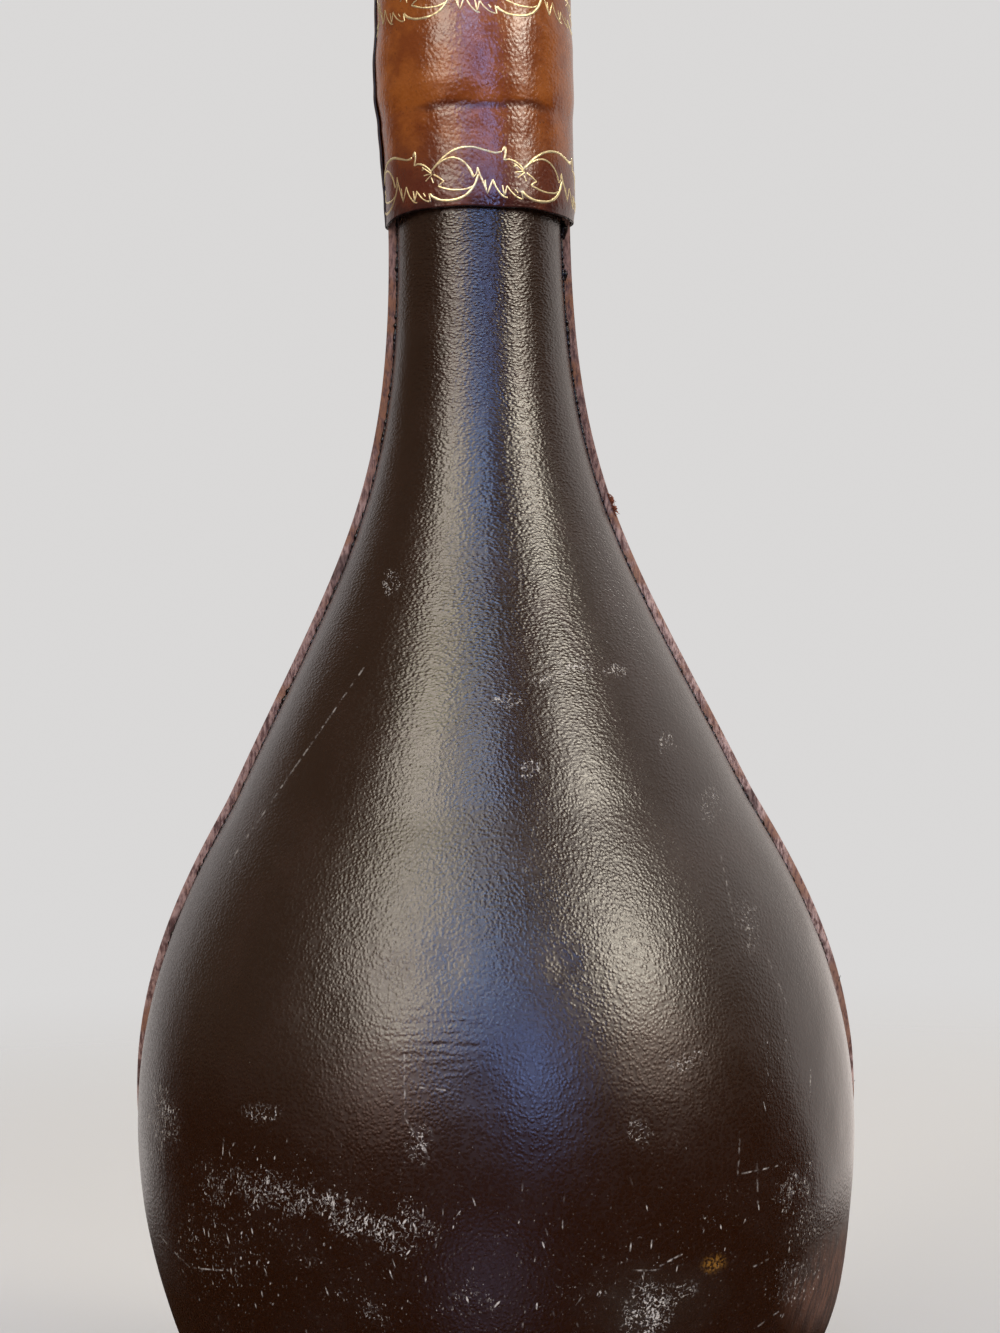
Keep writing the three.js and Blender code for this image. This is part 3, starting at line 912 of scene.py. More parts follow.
for name, lay, leather, slot, node_name, edge_round in (
    ("back_leather", lay_back, dark_leather, "dark_leather", "back_panel", 0.2 * MM),
    ("front_leather", lay_front, chestnut_leather, "tan_leather", "front_panel", 0.22 * MM),
):
    sheet = wrapped_sheet(name, *PANEL_GRID, lay)
    panel = link_piece(sheet, "bottle", slot, [leather, raw_edge], node_name)
    thicken(panel, PANEL_LEATHER, edge_round)

# %% [markdown]
# ## Drawn lines: gilding, glue and fibres
# Gilt lines, the beads of glue in the corner of the seam and loose fibres are all thin lines that swell and
# taper. A curve with a round bevel and a radius at every point gives that, and it becomes a mesh before it
# is placed.

# %% Line helper


def through(points, steps):
    """A smooth line through a few points."""
    line = []
    last = len(points) - 1
    for i in range(last):
        before, start, end, after = (points[min(max(i + k, 0), last)] for k in (-1, 0, 1, 2))
        hold = (end - before) / 6, (after - start) / 6
        line += interpolate_bezier(start, start + hold[0], end - hold[1], end, steps + 1)[:-1]
    return line + [points[-1]]


def drawn_lines(name, lines, sides=1):
    """One mesh of round lines, each a list of points and radii."""
    curve = bpy.data.curves.new(name, "CURVE")
    curve.dimensions = "3D"
    curve.bevel_depth = 1.0
    curve.bevel_resolution = sides
    curve.use_fill_caps = True
    for line in lines:
        spline = curve.splines.new("POLY")
        spline.points.add(len(line) - 1)
        for knot, (place, radius) in zip(spline.points, line):
            knot.co = (*place, 1)
            knot.radius = radius
    drawn = bpy.data.objects.new(name + "_curve", curve)
    bpy.context.scene.collection.objects.link(drawn)
    bpy.context.view_layer.update()
    mesh = bpy.data.meshes.new_from_object(drawn.evaluated_get(bpy.context.evaluated_depsgraph_get()))
    bpy.data.objects.remove(drawn)
    bpy.data.curves.remove(curve)
    mesh.name = name
    mesh.materials.clear()
    print(f"{name}: {len(lines)} lines, {len(mesh.polygons)} faces")
    return mesh


# %% Glue beads along both seams
BEAD_RADIUS = 0.40 * MM
BEAD_POINTS = 900


def on_seam(side, along, offset, gap=0.0):
    """A point on the front panel's edge, by its offset from the glass and a gap in front, and its height."""
    point, out = on_glass(along)
    radius = point.x + out.x * offset
    height = point.z + out.z * offset
    turn = side * (math.pi / 2 + math.asin((seam_depth(height, side) - gap) / radius))
    return around(radius, turn, height) + around(out.x, turn, out.z) * stand_off(turn, height), height


def seam_bead(side):
    line = []
    for i in range(BEAD_POINTS):
        along = 0.1 + 0.76 * i / (BEAD_POINTS - 1)
        if on_glass(along)[0].z > COLLAR_BOTTOM + 2 * MM:
            break
        place, height = on_seam(side, along, UNDER_TOP + 0.1 * MM, 0.12 * MM)
        clots = noise.noise(Vector((side, 0, height / 0.0008)))
        clots += noise.noise(Vector((side, 5, height / 0.006)))
        line.append((place, BEAD_RADIUS * max(0.22, 0.62 + 0.95 * clots)))
    return line


seam_beads = drawn_lines("seam_glue", [seam_bead(-1), seam_bead(1)])
link_piece(seam_beads, "bottle", "dark_leather", [seam_glue])

# %% [markdown]
# ## The neck collar
# The collar is one strip that is wrapped once round the neck and laps over its own start at the left. It
# lies on the panels' laps at the sides and sinks between them, so it is a little flatter towards the
# camera. It shows the ring of the glass below, and a crease just under it. Its free end is dyed dark and
# faces the camera at the left edge.

# %% Collar
COLLAR_LEATHER = 0.5 * MM
COLLAR_LAP = math.radians(38)
COLLAR_SINK = 1.1 * MM
COLLAR_MEAN = 0.017
COLLAR_GRID = (320, 130)
FREE_END = math.radians(270)
# Outside radius of the collar at two sides, and how far its free end stands off, by the rise above its lower
# edge. All in millimetres.
RIGHT_SIDE = (
    (0, 17.3), (3, 17.65), (13, 17.45), (18, 17.45), (22, 17.75), (31, 17.75), (36, 17.5), (44, 17.45)
)
LEFT_SIDE = ((0, 16.95), (4, 17.0), (13, 17.1), (18, 17.45), (24, 18.2), (29, 18.35), (36, 17.9), (44, 17.8))
STANDS_OFF = ((0, 0.25), (4, 0.4), (13, 0.85), (20, 0.75), (27, 0.62), (36, 0.55), (44, 0.55))


def along_profile(profile, rise):
    """A value between a profile's points, with soft passages."""
    for (start, first), (end, second) in zip(profile, profile[1:]):
        if rise <= end:
            return first + (second - first) * smooth((rise - start) / (end - start))
    return profile[-1][1]


def collar_radius(turn, height):
    """Outside of the collar, from under its free end round to that end."""
    rise = (height - COLLAR_BOTTOM) / MM
    leftness = (1 - math.sin(turn)) / 2
    side = along_profile(RIGHT_SIDE, rise) * (1 - leftness) + along_profile(LEFT_SIDE, rise) * leftness
    spot = around(COLLAR_MEAN, turn, height)
    crease_line = CREASE_HEIGHT + ripple(spot, 0.009, 0.5 * MM)
    from_crease = height - crease_line
    fold = math.exp(-((from_crease / ((0.9 if from_crease > 0 else 2.2) * MM)) ** 2))
    facing = smooth(math.cos(turn) * 1.6) * smooth((turn + math.radians(52)) / math.radians(24))
    crease = (0.11 + 0.06 * noise.noise(spot * 260)) * MM * fold * facing
    over = smooth(1 - (FREE_END - turn - COLLAR_LAP) / math.radians(25))
    flap = over * along_profile(STANDS_OFF, rise) * MM
    sink = COLLAR_SINK * math.cos(turn) ** 2
    return side * MM - sink - crease + flap + ripple(spot, 0.006, 0.09 * MM) + ripple(spot, 0.0022, 0.03 * MM)


def collar_edge(turn):
    """The lower edge, which was cut by hand and rises a little towards the middle."""
    hand_cut = ripple(around(COLLAR_MEAN, turn, 0), 0.008, 0.2 * MM)
    raised = 0.75 * math.cos(turn) ** 2 - 0.25
    at_left = 0.6 * math.exp(-(((turn + math.radians(48)) / math.radians(24)) ** 2))
    return COLLAR_BOTTOM + hand_cut + (raised + at_left) * MM


def lay_collar(across, along):
    turn = FREE_END - (2 * math.pi + COLLAR_LAP) * (1 - across)
    spot = around(COLLAR_MEAN, turn, 0)
    low = collar_edge(turn)
    high = COLLAR_TOP + ripple(spot + UP, 0.008, 0.2 * MM) - 0.2 * MM
    height = low + (high - low) * along
    return around(collar_radius(turn, height), turn, height)


collar_sheet = wrapped_sheet("collar_leather", *COLLAR_GRID, lay_collar)
collar = link_piece(collar_sheet, "bottle", "collar_leather", [cognac_leather, dyed_edge], "neck_collar")
thicken(collar, COLLAR_LEATHER, 0.14 * MM)

# %% Glue at the collar and loose fibres
EDGE_BEAD = 0.15 * MM
FIBRE = 0.085 * MM
RED_FIBRES = ((0.24, 0.060, 0.022, 1), (0.36, 0.125, 0.050, 1))


def seam_corner(side, height, offset):
    """A point on the front panel's edge, by its height on the glass and its offset from the glass."""
    along = min(range(2000), key=lambda i: abs(on_glass(i / 2000)[0].z - height)) / 2000
    return on_seam(side, along, offset)[0]


def collar_bead_of_glue_and_shade():
    """Black glue pressed out under the collar's lower edge, drawn only on the side that faces the camera,
    where it also serves as a painted shadow line under that edge.
    """
    line = []
    for i in range(240):
        turn = math.radians(-84 + 168 * i / 239)
        low = collar_edge(turn)
        swell = 0.95 + 0.7 * noise.noise(Vector((turn * 14, 0, 3)))
        line.append((around(collar_radius(turn, low) - 0.32 * MM, turn, low), EDGE_BEAD * max(swell, 0.35)))
    return line


def glue_run(side, start, drop, size):
    """A thick run of glue down the seam below the collar."""
    line = []
    for i in range(9):
        share = i / 8
        lumpy = 0.8 + 0.5 * noise.noise(Vector((side, start, share * 4)))
        swell = math.sin(math.pi * (0.12 + 0.8 * share)) * lumpy
        line.append((seam_corner(side, start - drop * share, UNDER_TOP + 0.5 * MM), size * swell))
    return line


def torn_end(side, height, length, size):
    """A torn end of red leather that stands on the edge like a short thick bead."""
    line = []
    for i in range(7):
        share = i / 6
        lumpy = 1 + 0.6 * noise.noise(Vector((height * 900, share * 5, side)))
        swell = math.sin(math.pi * (0.08 + 0.84 * share)) * lumpy
        line.append((seam_corner(side, height - length * share, LAP_TOP + 0.15 * MM), size * swell))
    return line


def fibre(side, height, way, thickness=FIBRE):
    """A thin hair that leaves the cut edge and bends down at its end."""
    root = seam_corner(side, height, LAP_TOP - 0.3 * MM)
    way = Vector(way) * MM
    bend = Vector((0, 0, -0.3 * way.length))
    points = [root, root + way * 0.5, root + way + bend]
    return [(place, thickness * (1 - 0.5 * i / 6)) for i, place in enumerate(through(points, 3))]


def tuft(side, low, high, count):
    """Hairs of uneven length and direction, side by side on a stretch of the cut edge."""
    hairs = []
    for i in range(count):
        height = low + (high - low) * (i + 0.5) / count
        turned = [noise.noise(Vector((i * 3.7, k * 5.1, side))) for k in range(3)]
        reach = 0.55 + 1.0 * abs(noise.noise(Vector((i * 1.9, 8, side))))
        way = (side * reach, turned[1] - 0.3, 1.3 * turned[2])
        hairs.append(fibre(side, height, way, FIBRE * (1 + turned[0])))
    return hairs


glue_lines = [
    # the bead under the collar's edge is glue and a painted shadow line
    collar_bead_of_glue_and_shade(),
    glue_run(1, COLLAR_BOTTOM + 0.4 * MM, 3.4 * MM, 0.85 * MM),
    glue_run(1, COLLAR_BOTTOM - 8.5 * MM, 2.2 * MM, 0.5 * MM),
]
link_piece(drawn_lines("collar_glue_and_shade", glue_lines, 2), "bottle", "dark_leather", [seam_glue])
red_fibres = make_dyed_edge("red_fibres", RED_FIBRES, 0.6)
red_hairs = tuft(1, 0.1785, 0.1825, 26)
red_hairs += [torn_end(1, 0.1818, 1.3 * MM, 0.42 * MM), torn_end(1, 0.1801, 1.0 * MM, 0.46 * MM)]
link_piece(drawn_lines("edge_tuft", red_hairs), "bottle", "tan_leather", [red_fibres])
dark_hairs = [
    fibre(1, 0.0925, (0.35, 0, 1.5)),
    fibre(1, 0.0735, (0.5, 0, 1.2)),
    fibre(-1, 0.0610, (-0.3, 0, 1.4)),
]
link_piece(drawn_lines("edge_hairs", dark_hairs), "bottle", "dark_leather", [seam_glue])

# %% [markdown]
# ## Gilt scroll bands
# A roll was heated and run round the collar over gold foil, above and below the ring, so one leaf of a
# traditional running scroll repeats six times in each band. The strokes of one leaf are drawn here in
# millimetres along the band and up from the collar's edge, as a finisher would draw them, and a loop lays
# them round the neck.

# %% Gilding
LEAF_REPEATS = 6
LEAF_LENGTH = 18.4
LOWER_BAND = (COLLAR_BOTTOM + 0.4 * MM, math.radians(-31))
UPPER_BAND = (COLLAR_BOTTOM + 32.9 * MM, math.radians(-46))
# Each stroke: its line width and its points, in millimetres along the band and up.
CURVED_STROKES = (
    (0.66, (0.0, 6.7), (1.2, 7.7), (2.8, 9.0), (5.3, 10.2), (8.2, 10.5), (10.8, 9.9), (12.9, 9.4),
     (14.3, 9.7)),
    (0.50, (14.3, 9.7), (14.8, 10.5), (14.9, 9.4), (14.6, 8.1)),
    (0.52, (14.6, 8.1), (15.5, 8.3), (16.7, 8.0), (17.8, 7.3), (18.5, 6.5)),
    (0.56, (1.1, 7.6), (2.6, 8.4), (4.3, 8.8), (6.0, 8.4), (7.4, 7.3), (8.2, 6.0), (8.5, 5.1)),
    (0.40, (8.5, 5.1), (9.2, 5.8), (9.4, 6.9)),
    (0.62, (-0.4, 2.9), (0.4, 2.1), (2.2, 1.4), (4.4, 1.3), (6.1, 1.6), (7.6, 2.4), (8.8, 3.8), (9.6, 5.7)),
    (0.52, (1.5, 3.9), (3.7, 3.2), (5.5, 3.0), (7.3, 3.1), (8.5, 3.6)),
    (0.46, (0.6, 6.1), (1.5, 5.6), (2.8, 4.7)),
    (0.44, (12.3, 4.7), (13.0, 3.1), (14.2, 1.8), (15.1, 1.5)),
    (0.42, (15.0, 3.6), (15.9, 2.5), (17.0, 1.7), (18.0, 1.4)),
)
STRAIGHT_STROKES = (
    (0.50, (9.4, 6.9), (9.8, 5.6), (11.3, 2.2), (12.3, 4.7)),
    (0.36, (10.8, 4.6), (11.0, 2.9)),
    (0.42, (14.1, 3.7), (14.5, 1.7), (15.0, 3.6)),
    (0.40, (17.9, 2.8), (18.2, 1.4)),
    (0.42, (2.8, 4.7), (2.0, 4.3), (1.5, 3.9)),
    (0.34, (16.6, 3.0), (17.1, 2.4)),
    (0.32, (17.2, 7.3), (16.4, 7.1)),
    (0.42, (16.5, 7.6), (17.6, 6.9), (18.5, 6.3)),
    (0.38, (16.8, 6.1), (18.4, 6.3)),
    (0.36, (17.2, 5.1), (18.0, 5.7), (18.7, 6.2)),
    (0.34, (18.9, 4.6), (18.5, 5.6)),
)
# How much of its own radius a line is sunk, how far that widens it, its least radius in millimetres, the
# points on each stretch and the bare strip at the collar's free end.
GILT_SINK = 0.75
GILT_SPREAD = 0.65
GILT_LEAST = 0.24
GILT_TRAVEL = 5
EDGE_MARGIN = math.radians(4)


def gilt_line(band, leaf, width, points):
    """A pressed line that tapers at its ends, wears thin in places and stops at the collar's free end."""
    base, first = band
    pieces = [[], []]
    for i, spot in enumerate(points):
        turn = first + (leaf + spot.x / LEAF_LENGTH) * 2 * math.pi / LEAF_REPEATS
        past_end = turn > FREE_END
        if past_end:
            turn -= 2 * math.pi
        height = base + spot.y * MM
        ends = smooth(min(i, len(points) - 1 - i) / 3 + 0.4)
        worn = 1 + 0.3 * noise.noise(Vector((spot.x + 20 * leaf, spot.y, base / MM)))
        radius = max(GILT_LEAST, width * GILT_SPREAD * ends * worn) * MM
        if abs(turn - FREE_END) > EDGE_MARGIN:
            place = around(collar_radius(turn, height) - GILT_SINK * radius, turn, height)
            pieces[past_end].append((place, radius))
    return [piece for piece in pieces if len(piece) > 1]


def gilt_band(band):
    lines = []
    for leaf in range(LEAF_REPEATS):
        for width, *spots in CURVED_STROKES:
            points = through([Vector(s).to_3d() for s in spots], GILT_TRAVEL)
            lines += gilt_line(band, leaf, width, points)
        for width, *spots in STRAIGHT_STROKES:
            corners = [Vector(s).to_3d() for s in spots]
            pairs = list(zip(corners, corners[1:]))
            points = [a.lerp(b, k / GILT_TRAVEL) for a, b in pairs for k in range(GILT_TRAVEL)]
            lines += gilt_line(band, leaf, width, points + corners[-1:])
    return lines


for name, band in (("gilt_lower_band", LOWER_BAND), ("gilt_upper_band", UPPER_BAND)):
    link_piece(drawn_lines(name, gilt_band(band)), "bottle", "collar_leather", [gilding])

# %% [markdown]
# ## Glass, cork, wood and board
# The glass shows only at the lip and through the mouth when the stopper is out. It is turned again from a
# smooth outline by a full spin. Cork, wood and board are plain materials with the grain of the real thing.

# %% Plain materials
GLASS_TINT = ((0.55, 0.74, 0.52, 1), (0.68, 0.84, 0.62, 1))
CORK_TONES = ((0.50, 0.29, 0.13, 1), (0.36, 0.19, 0.08, 1))
CORK_PITS = (0.12, 0.055, 0.025, 1)
WOOD_TONES = ((0.44, 0.25, 0.11, 1), (0.30, 0.155, 0.062, 1))
BOARD_TONES = ((0.25, 0.18, 0.11, 1), (0.38, 0.29, 0.19, 1))
SOLE_TONES = ((0.040, 0.020, 0.012, 1), (0.075, 0.040, 0.024, 1))


def make_glass():
    material, shader, place = start_material("bottle_glass", Roughness=0.04, Transmission_Weight=1.0, IOR=1.5)
    feed(shader, "Base Color", mix_colour(noise_node(place, 260.0), *GLASS_TINT))
    bumped(shader, noise_node(place, 120.0, 2.0), 0.0001)
    return material


def make_cork():
    material, shader, place = start_material("cork", Specular_IOR_Level=0.25)
    grains = add_node("ShaderNodeTexVoronoi", {"Vector": place, "Scale": 900.0}).outputs["Distance"]
    pits = use_group(worn_flecks, Vector=stretched(place, (1, 1, 2.5)), Scale=420.0, Amount=0.5)
    tone = mix_colour(rescale(grains, 0.1, 0.8), *CORK_TONES)
    feed(shader, "Base Color", painted(tone, (times(pits, 0.8), CORK_PITS)))
    feed(shader, "Roughness", rescale(grains, 0.0, 1.0, 0.75, 0.9))
    bumped(shader, minus(grains, times(pits, 2.0)), 0.0003)
    return material


bottle_glass = make_glass()
cork = make_cork()
wood_lines = (16, 700.0, 4.0, 0.6)
board_fibres = (None, 1200.0, 4.0, 0.7)
turned_wood = two_toned("turned_wood", 0.35, wood_lines, (0.3, 0.7), WOOD_TONES, (0.5, 0.65), 0.0001)
pressed_board = two_toned("pressed_board", 0.2, board_fibres, (0.3, 0.7), BOARD_TONES, (0.85, 0.95), 0.0001)
sole_leather = make_dyed_edge("sole_leather", SOLE_TONES, 0.55)
for node_name, material in (
    ("base_filler", pressed_board),
    ("stopper_dowel", turned_wood),
    ("stopper_core", turned_wood),
):
    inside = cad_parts[node_name].data
    inside.materials.clear()
    inside.materials.append(material)
print("materials", bottle_glass.name, cork.name, turned_wood.name, pressed_board.name, sole_leather.name)

# %% Turned pieces
TURN_STEPS = 96
PUNT_RADIUS = 27.0 * MM
PUNT_DEPTH = 8.0 * MM
FOOT_ROUND = 0.5 * MM


def turned(name, outline):
    """A closed outline in the plane of the axis, spun all the way round."""
    bm = bmesh.new()
    verts = [bm.verts.new(p) for p in outline]
    edges = [bm.edges.new(pair) for pair in zip(verts, verts[1:])]
    if outline[0].x > 1e-6:
        edges.append(bm.edges.new((verts[-1], verts[0])))
    ring = {"axis": UP, "cent": (0, 0, 0), "angle": 2 * math.pi, "steps": TURN_STEPS, "use_merge": True}
    bmesh.ops.spin(bm, geom=verts + edges, **ring)
    bmesh.ops.remove_doubles(bm, verts=bm.verts, dist=1e-6)
    bmesh.ops.recalc_face_normals(bm, faces=bm.faces)
    print(f"{name}: {len(bm.faces)} faces")
    return mesh_of(bm, name)


def rounded(corners, radius, steps=4):
    """A closed outline whose corners off the axis are rounded."""
    line = []
    for i, corner in enumerate(corners):
        before, after = corners[i - 1], corners[(i + 1) % len(corners)]
        if corner.x < 1e-6:
            line.append(corner)
            continue
        cut = min(radius, (corner - before).length * 0.45, (corner - after).length * 0.45)
        start = corner + (before - corner).normalized() * cut
        end = corner + (after - corner).normalized() * cut
        line += interpolate_bezier(start, start.lerp(corner, 0.55), end.lerp(corner, 0.55), end, steps + 1)
    return line


def rectangle(inner, outer, low, high):
    """Corners of a disc or a ring, cut through on one side."""
    return [flat(inner, low), flat(outer, low), flat(outer, high), flat(inner, high)]


def punt(lift, steps=16):
    """The hollow under the foot, from the axis outwards."""
    rises = [(i / steps, PUNT_DEPTH * (1 + math.cos(math.pi * (i / steps))) / 2) for i in range(steps)]
    return [flat(PUNT_RADIUS * share, FOOT_HEIGHT + lift + rise) for share, rise in rises]


glass_outline = (
    punt(0)
    + wall(0, NECK.x, 24)
    + neck(NECK.z, MOUTH - LIP_ROUND)[1:-1]
    + arc(flat(NECK.x - LIP_ROUND, MOUTH - LIP_ROUND), LIP_ROUND, 0, math.pi / 2, 6)
    + arc(flat(BORE_RADIUS + LIP_ROUND, MOUTH - LIP_ROUND), LIP_ROUND, math.pi / 2, math.pi, 6)
    + wall(GLASS_WALL, BORE_RADIUS, 24)[::-1]
    + punt(GLASS_WALL)[::-1]
)
link_piece(turned("clear_bottle", glass_outline), "bottle", "glass", [bottle_glass], "glass_bottle")
base_low, base_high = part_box("base_disc")
foot = rounded(rectangle(0, base_high.x, base_low.z, base_high.z), FOOT_ROUND)
link_piece(turned("foot_leather", foot), "bottle", "base_leather", [sole_leather], "base_disc")

# %% [markdown]
# ## The stopper
# The photograph is cut off below the mouth, so the stopper is a plain one of the usual kind: a tapered cork
# pinned to a turned head, which is covered like the bottle, with a band round its side and a domed disc on
# top.

# %% Stopper
cork_low, cork_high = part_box("stopper_cork")
washer_low, washer_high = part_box("stopper_washer")
DOWEL_HOLE = 3.7 * MM
DOWEL_IN_CORK = 14.0 * MM
CORK_TAPER = 0.7 * MM
CORK_CHAMFER = 1.2 * MM
CORK_ROUND = 0.4 * MM

cork_end = cork_high.x - CORK_TAPER
hole_end = cork_high.z - DOWEL_IN_CORK
cork_corners = [
    flat(0, cork_low.z),
    flat(cork_end - CORK_CHAMFER, cork_low.z),
    flat(cork_end, cork_low.z + CORK_CHAMFER),
    flat(cork_high.x, MOUTH),
    flat(cork_high.x, cork_high.z),
    flat(DOWEL_HOLE, cork_high.z),
    flat(DOWEL_HOLE, hole_end),
    flat(0, hole_end),
]
tapered_cork = turned("tapered_cork", rounded(cork_corners, CORK_ROUND))
link_piece(tapered_cork, "stopper", "cork", [cork], "stopper_cork")
washer_corners = rectangle(cork_high.x + GLUE, washer_high.x, washer_low.z, washer_high.z)
lip_washer = turned("lip_washer", rounded(washer_corners, CORK_ROUND))
link_piece(lip_washer, "stopper", "washer_leather", [dyed_edge], "stopper_washer")

# %% Head of the stopper
band_low, band_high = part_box("stopper_side_band")
top_low, top_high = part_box("stopper_top_disc")
core_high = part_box("stopper_core")[1]
HEAD_LEATHER = 1.2 * MM
HEAD_GRID = (200, 60)
HEAD_FOOT = NECK.x + 0.8 * MM
HEAD_TOP = core_high.x
BAND_LAP = math.radians(24)
BAND_SWEEP = 2 * math.pi + BAND_LAP
DOME = core_high.z - band_high.z
DISC_ROUND_LOW = 0.3 * MM
DISC_ROUND_HIGH = 0.35 * MM


def lay_head_band(across, along):
    turn = math.pi - BAND_LAP + across * BAND_SWEEP
    over = smooth(1 - ((1 - across) * BAND_SWEEP - BAND_LAP) / math.radians(30))
    radius = HEAD_FOOT + (HEAD_TOP - HEAD_FOOT) * smooth(along) + GLUE + HEAD_LEATHER * (0.6 + 0.4 * over)
    height = band_low.z + (band_high.z - band_low.z) * along
    return around(radius + ripple(around(radius, turn, height), 0.008, 0.08 * MM), turn, height)


def dome(lift, steps=24):
    """The head's domed top, from the axis to its edge."""
    shares = [i / steps for i in range(steps + 1)]
    return [flat(HEAD_TOP * s, band_high.z + lift + DOME * (1 - s * s)) for s in shares]


head_cognac = make_cognac("head_leather", band_low.z, band_high.z)
band_sheet = wrapped_sheet("head_band", *HEAD_GRID, lay_head_band)
head_band = link_piece(
    band_sheet, "stopper", "stopper_leather", [head_cognac, dyed_edge], "stopper_side_band"
)
thicken(head_band, HEAD_LEATHER * 0.55, 0.2 * MM)
disc_low = flat(top_high.x, top_low.z)
disc_high = flat(top_high.x, top_low.z + HEAD_LEATHER)
disc_edge = [
    disc_low + flat(-DISC_ROUND_LOW, 0),
    disc_low + flat(0, DISC_ROUND_LOW),
    disc_high + flat(0, -DISC_ROUND_HIGH),
    disc_high + flat(-DISC_ROUND_HIGH, 0),
]
head_top = turned("head_top", dome(GLUE) + disc_edge + dome(GLUE + HEAD_LEATHER)[::-1])
link_piece(head_top, "stopper", "stopper_top_leather", [umber_leather], "stopper_top_disc")

# %% [markdown]
# ## Stage, light and room
# The pale floor fades into a pale room. Two tall soft panels stand behind the camera, to its left and
# right, each with a dimmer top and foot, and bluish fills and strips lie between them: they make the two
# upright highlights and the cool stripe on the leather. Three lights at the back shape the other sides. The
# room is pale behind the bottle, which lights up the leather's edges, and dim in front of it.

# %% Floor
FLOOR_RADIUS = 0.8
FLOOR_FADE = 0.3
FLOOR_TONE = (0.62, 0.61, 0.605, 1)


def make_floor():
    """A pale disc that fades out towards its rim."""
    material, shader, place = start_material(
        "pale_floor", Base_Color=FLOOR_TONE, Roughness=0.9, Specular_IOR_Level=0.1
    )
    feed(shader, "Alpha", rescale(vectors("LENGTH", place), FLOOR_RADIUS, FLOOR_FADE))
    bm = bmesh.new()
    bmesh.ops.create_circle(bm, cap_ends=True, segments=96, radius=FLOOR_RADIUS)
    mesh = mesh_of(bm, "floor")
    mesh.materials.append(material)
    floor = bpy.data.objects.new("floor", mesh)
    bpy.context.scene.collection.objects.link(floor)
    floor.visible_glossy = False


make_floor()
print("floor", FLOOR_RADIUS, "m")

# %% Lights
LIGHT_DISTANCE = 1.4
LIGHT_AIM = Vector((0, 0, 0.13))
# Each soft light: azimuth and elevation in degrees, width and height, lean in degrees, radiance and colour.
SOFT_LIGHTS = {
    "right_panel": (52, 32, 0.40, 0.544, -10, 10.4, (1.0, 0.92, 0.77)),
    "right_panel_top": (52, 48, 0.40, 0.245, -10, 2.7, (1.0, 0.94, 0.89)),
    "right_panel_foot": (52, 14.5, 0.40, 0.319, -10, 2.5, (1.0, 0.75, 0.62)),
    "left_panel": (-36.5, 35.5, 0.54, 0.937, 12, 4.75, (1.0, 0.90, 0.77)),
    "left_panel_top": (-40, 61, 0.54, 0.344, 12, 2.6, (1.0, 0.96, 0.66)),
    "left_panel_foot": (-33, 9.5, 0.54, 0.369, 12, 1.2, (1.0, 0.66, 0.56)),
    "right_blue_fill": (13, 13, 0.18, 0.52, 0, 6.2, (0.27, 0.45, 1.0)),
    "left_blue_fill": (-14, 18.5, 0.26, 0.33, 0, 3.6, (0.42, 0.56, 1.0)),
    "middle_blue_fill": (-1.5, 20.0, 0.32, 0.24, 0, 1.45, (0.22, 0.40, 1.0)),
    "blue_strip": (-3, 35, 0.20, 0.394, 0, 8.5, (0.31, 0.54, 1.0)),
    "high_strip": (-8, 51.5, 0.24, 0.418, 0, 3.2, (0.85, 0.88, 1.0)),
    "back_softbox": (165, 50, 0.9, 0.9, 0, 1.2, (1.0, 0.98, 0.95)),
    "back_right_strip": (146, 44, 0.26, 0.66, 0, 8.0, (1.0, 0.95, 0.88)),
    "back_left_strip": (-150, 44, 0.26, 0.66, 0, 5.0, (0.92, 0.95, 1.0)),
}


def soft_light(name, azimuth, elevation, width, height, lean, radiance, colour):
    """A rectangular light on a sphere round the bottle; azimuth 0 is behind the camera, and it may lean."""
    a, e = math.radians(azimuth), math.radians(elevation)
    way = Vector((math.sin(a) * math.cos(e), -math.cos(a) * math.cos(e), math.sin(e)))
    light = bpy.data.lights.new(name, "AREA")
    light.shape = "RECTANGLE"
    light.size = width
    light.size_y = height
    light.energy = radiance * math.pi * width * height
    light.color = colour
    lamp = bpy.data.objects.new(name, light)
    lamp.location = LIGHT_AIM + way * LIGHT_DISTANCE
    lamp.rotation_mode = "QUATERNION"
    lamp.rotation_quaternion = way.to_track_quat("Z", "Y") @ Quaternion(UP, math.radians(lean))
    lamp.visible_camera = False
    bpy.context.scene.collection.objects.link(lamp)


for name, row in SOFT_LIGHTS.items():
    soft_light(name, *row)
print("lights", len(bpy.data.lights))

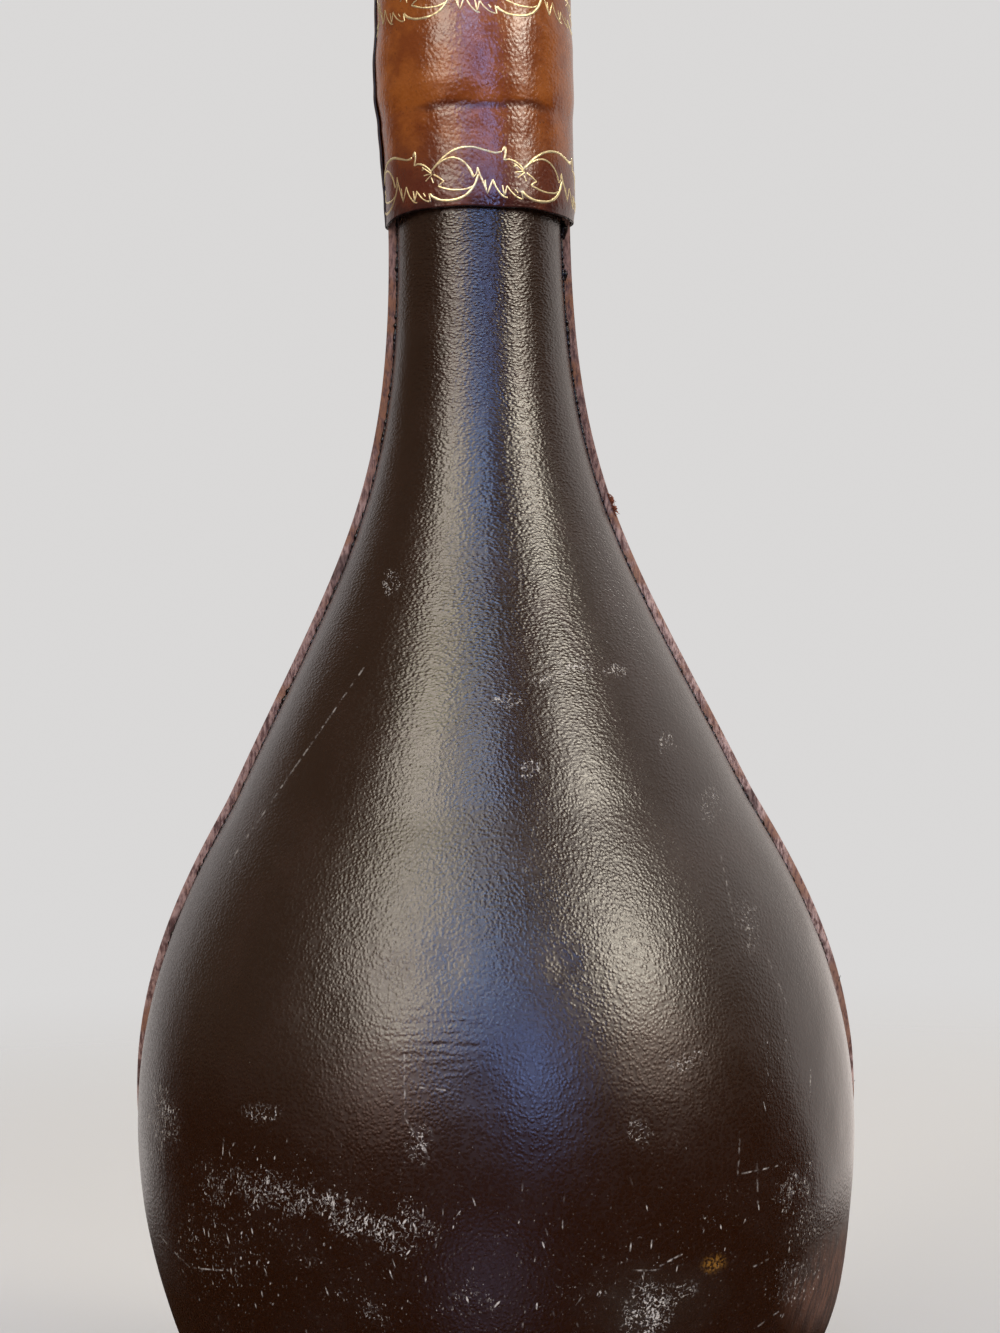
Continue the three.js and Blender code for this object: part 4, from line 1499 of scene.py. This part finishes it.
# %% Room
ROOM_PALE = (0.70, 0.69, 0.685, 1)
ROOM_AMBIENT = (0.28, 0.275, 0.27, 1)
ROOM_DIM = (0.135, 0.088, 0.058, 1)
ROOM_LOW = (0.030, 0.012, 0.005, 1)
ROOM_COOL = (0.45, 0.44, 0.72, 1)
ROOM_SIDE = (0.44, 0.38, 0.34, 1)
ROOM_RIGHT = (0.73, 0.66, 0.62, 1)
ROOM_RIGHT_LOW = (0.94, 0.84, 0.78, 1)
ROOM_LEFT = (0.50, 0.46, 0.45, 1)
ROOM_LEFT_LOW = (0.80, 0.74, 0.71, 1)
BACK_WAY = (0.28, 0.96, 0)
COOL_WAY = (-0.05, -0.87, -0.49)
COOL_SPREAD = (0.26, 10, 0.115)


def make_room():
    world = bpy.data.worlds.new("room")
    bpy.context.scene.world = world
    world.use_nodes = True
    nodes = world.node_tree.nodes
    way = nodes.new("ShaderNodeTexCoord").outputs["Generated"]
    behind = vectors("DOT_PRODUCT", way, BACK_WAY)
    x, y, z = split(way)
    front = painted(
        mix_colour(rescale(z, 0.12, -0.04), ROOM_DIM, ROOM_LOW),
        (use_group(wear_patch, Vector=way, Centre=COOL_WAY, Half_size=COOL_SPREAD), ROOM_COOL),
        (times(rescale(z, 0.25, 0.52), rescale(x, 0.60, 0.82)), ROOM_SIDE),
    )
    near_edge = times(rescale(z, 0.15, -0.05), rescale(behind, 0.72, 0.95))
    right = mix_colour(near_edge, ROOM_RIGHT, ROOM_RIGHT_LOW)
    left = mix_colour(rescale(z, 0.0, -0.15), ROOM_LEFT, ROOM_LEFT_LOW)
    rightward = rescale(x, -0.4, 0.5)
    level = times_plus(y, -0.23, z)
    back = painted(mix_colour(rightward, left, right), (rescale(level, -0.41, -0.47), ROOM_LOW))
    start = times_plus(times_plus(z, 0.25, -0.07), rightward, behind)
    start = times_plus(smaller(z, 0.0), 0.45, start)
    mirrored = mix_colour(rescale(start, 0.33, 0.56), front, back)
    rays = nodes.new("ShaderNodeLightPath").outputs
    shiny = larger(rays["Is Glossy Ray"], rays["Is Transmission Ray"])
    seen = painted(mix_colour(shiny, ROOM_AMBIENT, mirrored), (rays["Is Camera Ray"], ROOM_PALE))
    feed(nodes["Background"], "Color", seen)


make_room()
bpy.context.scene.view_settings.view_transform = "Standard"
print("room made")
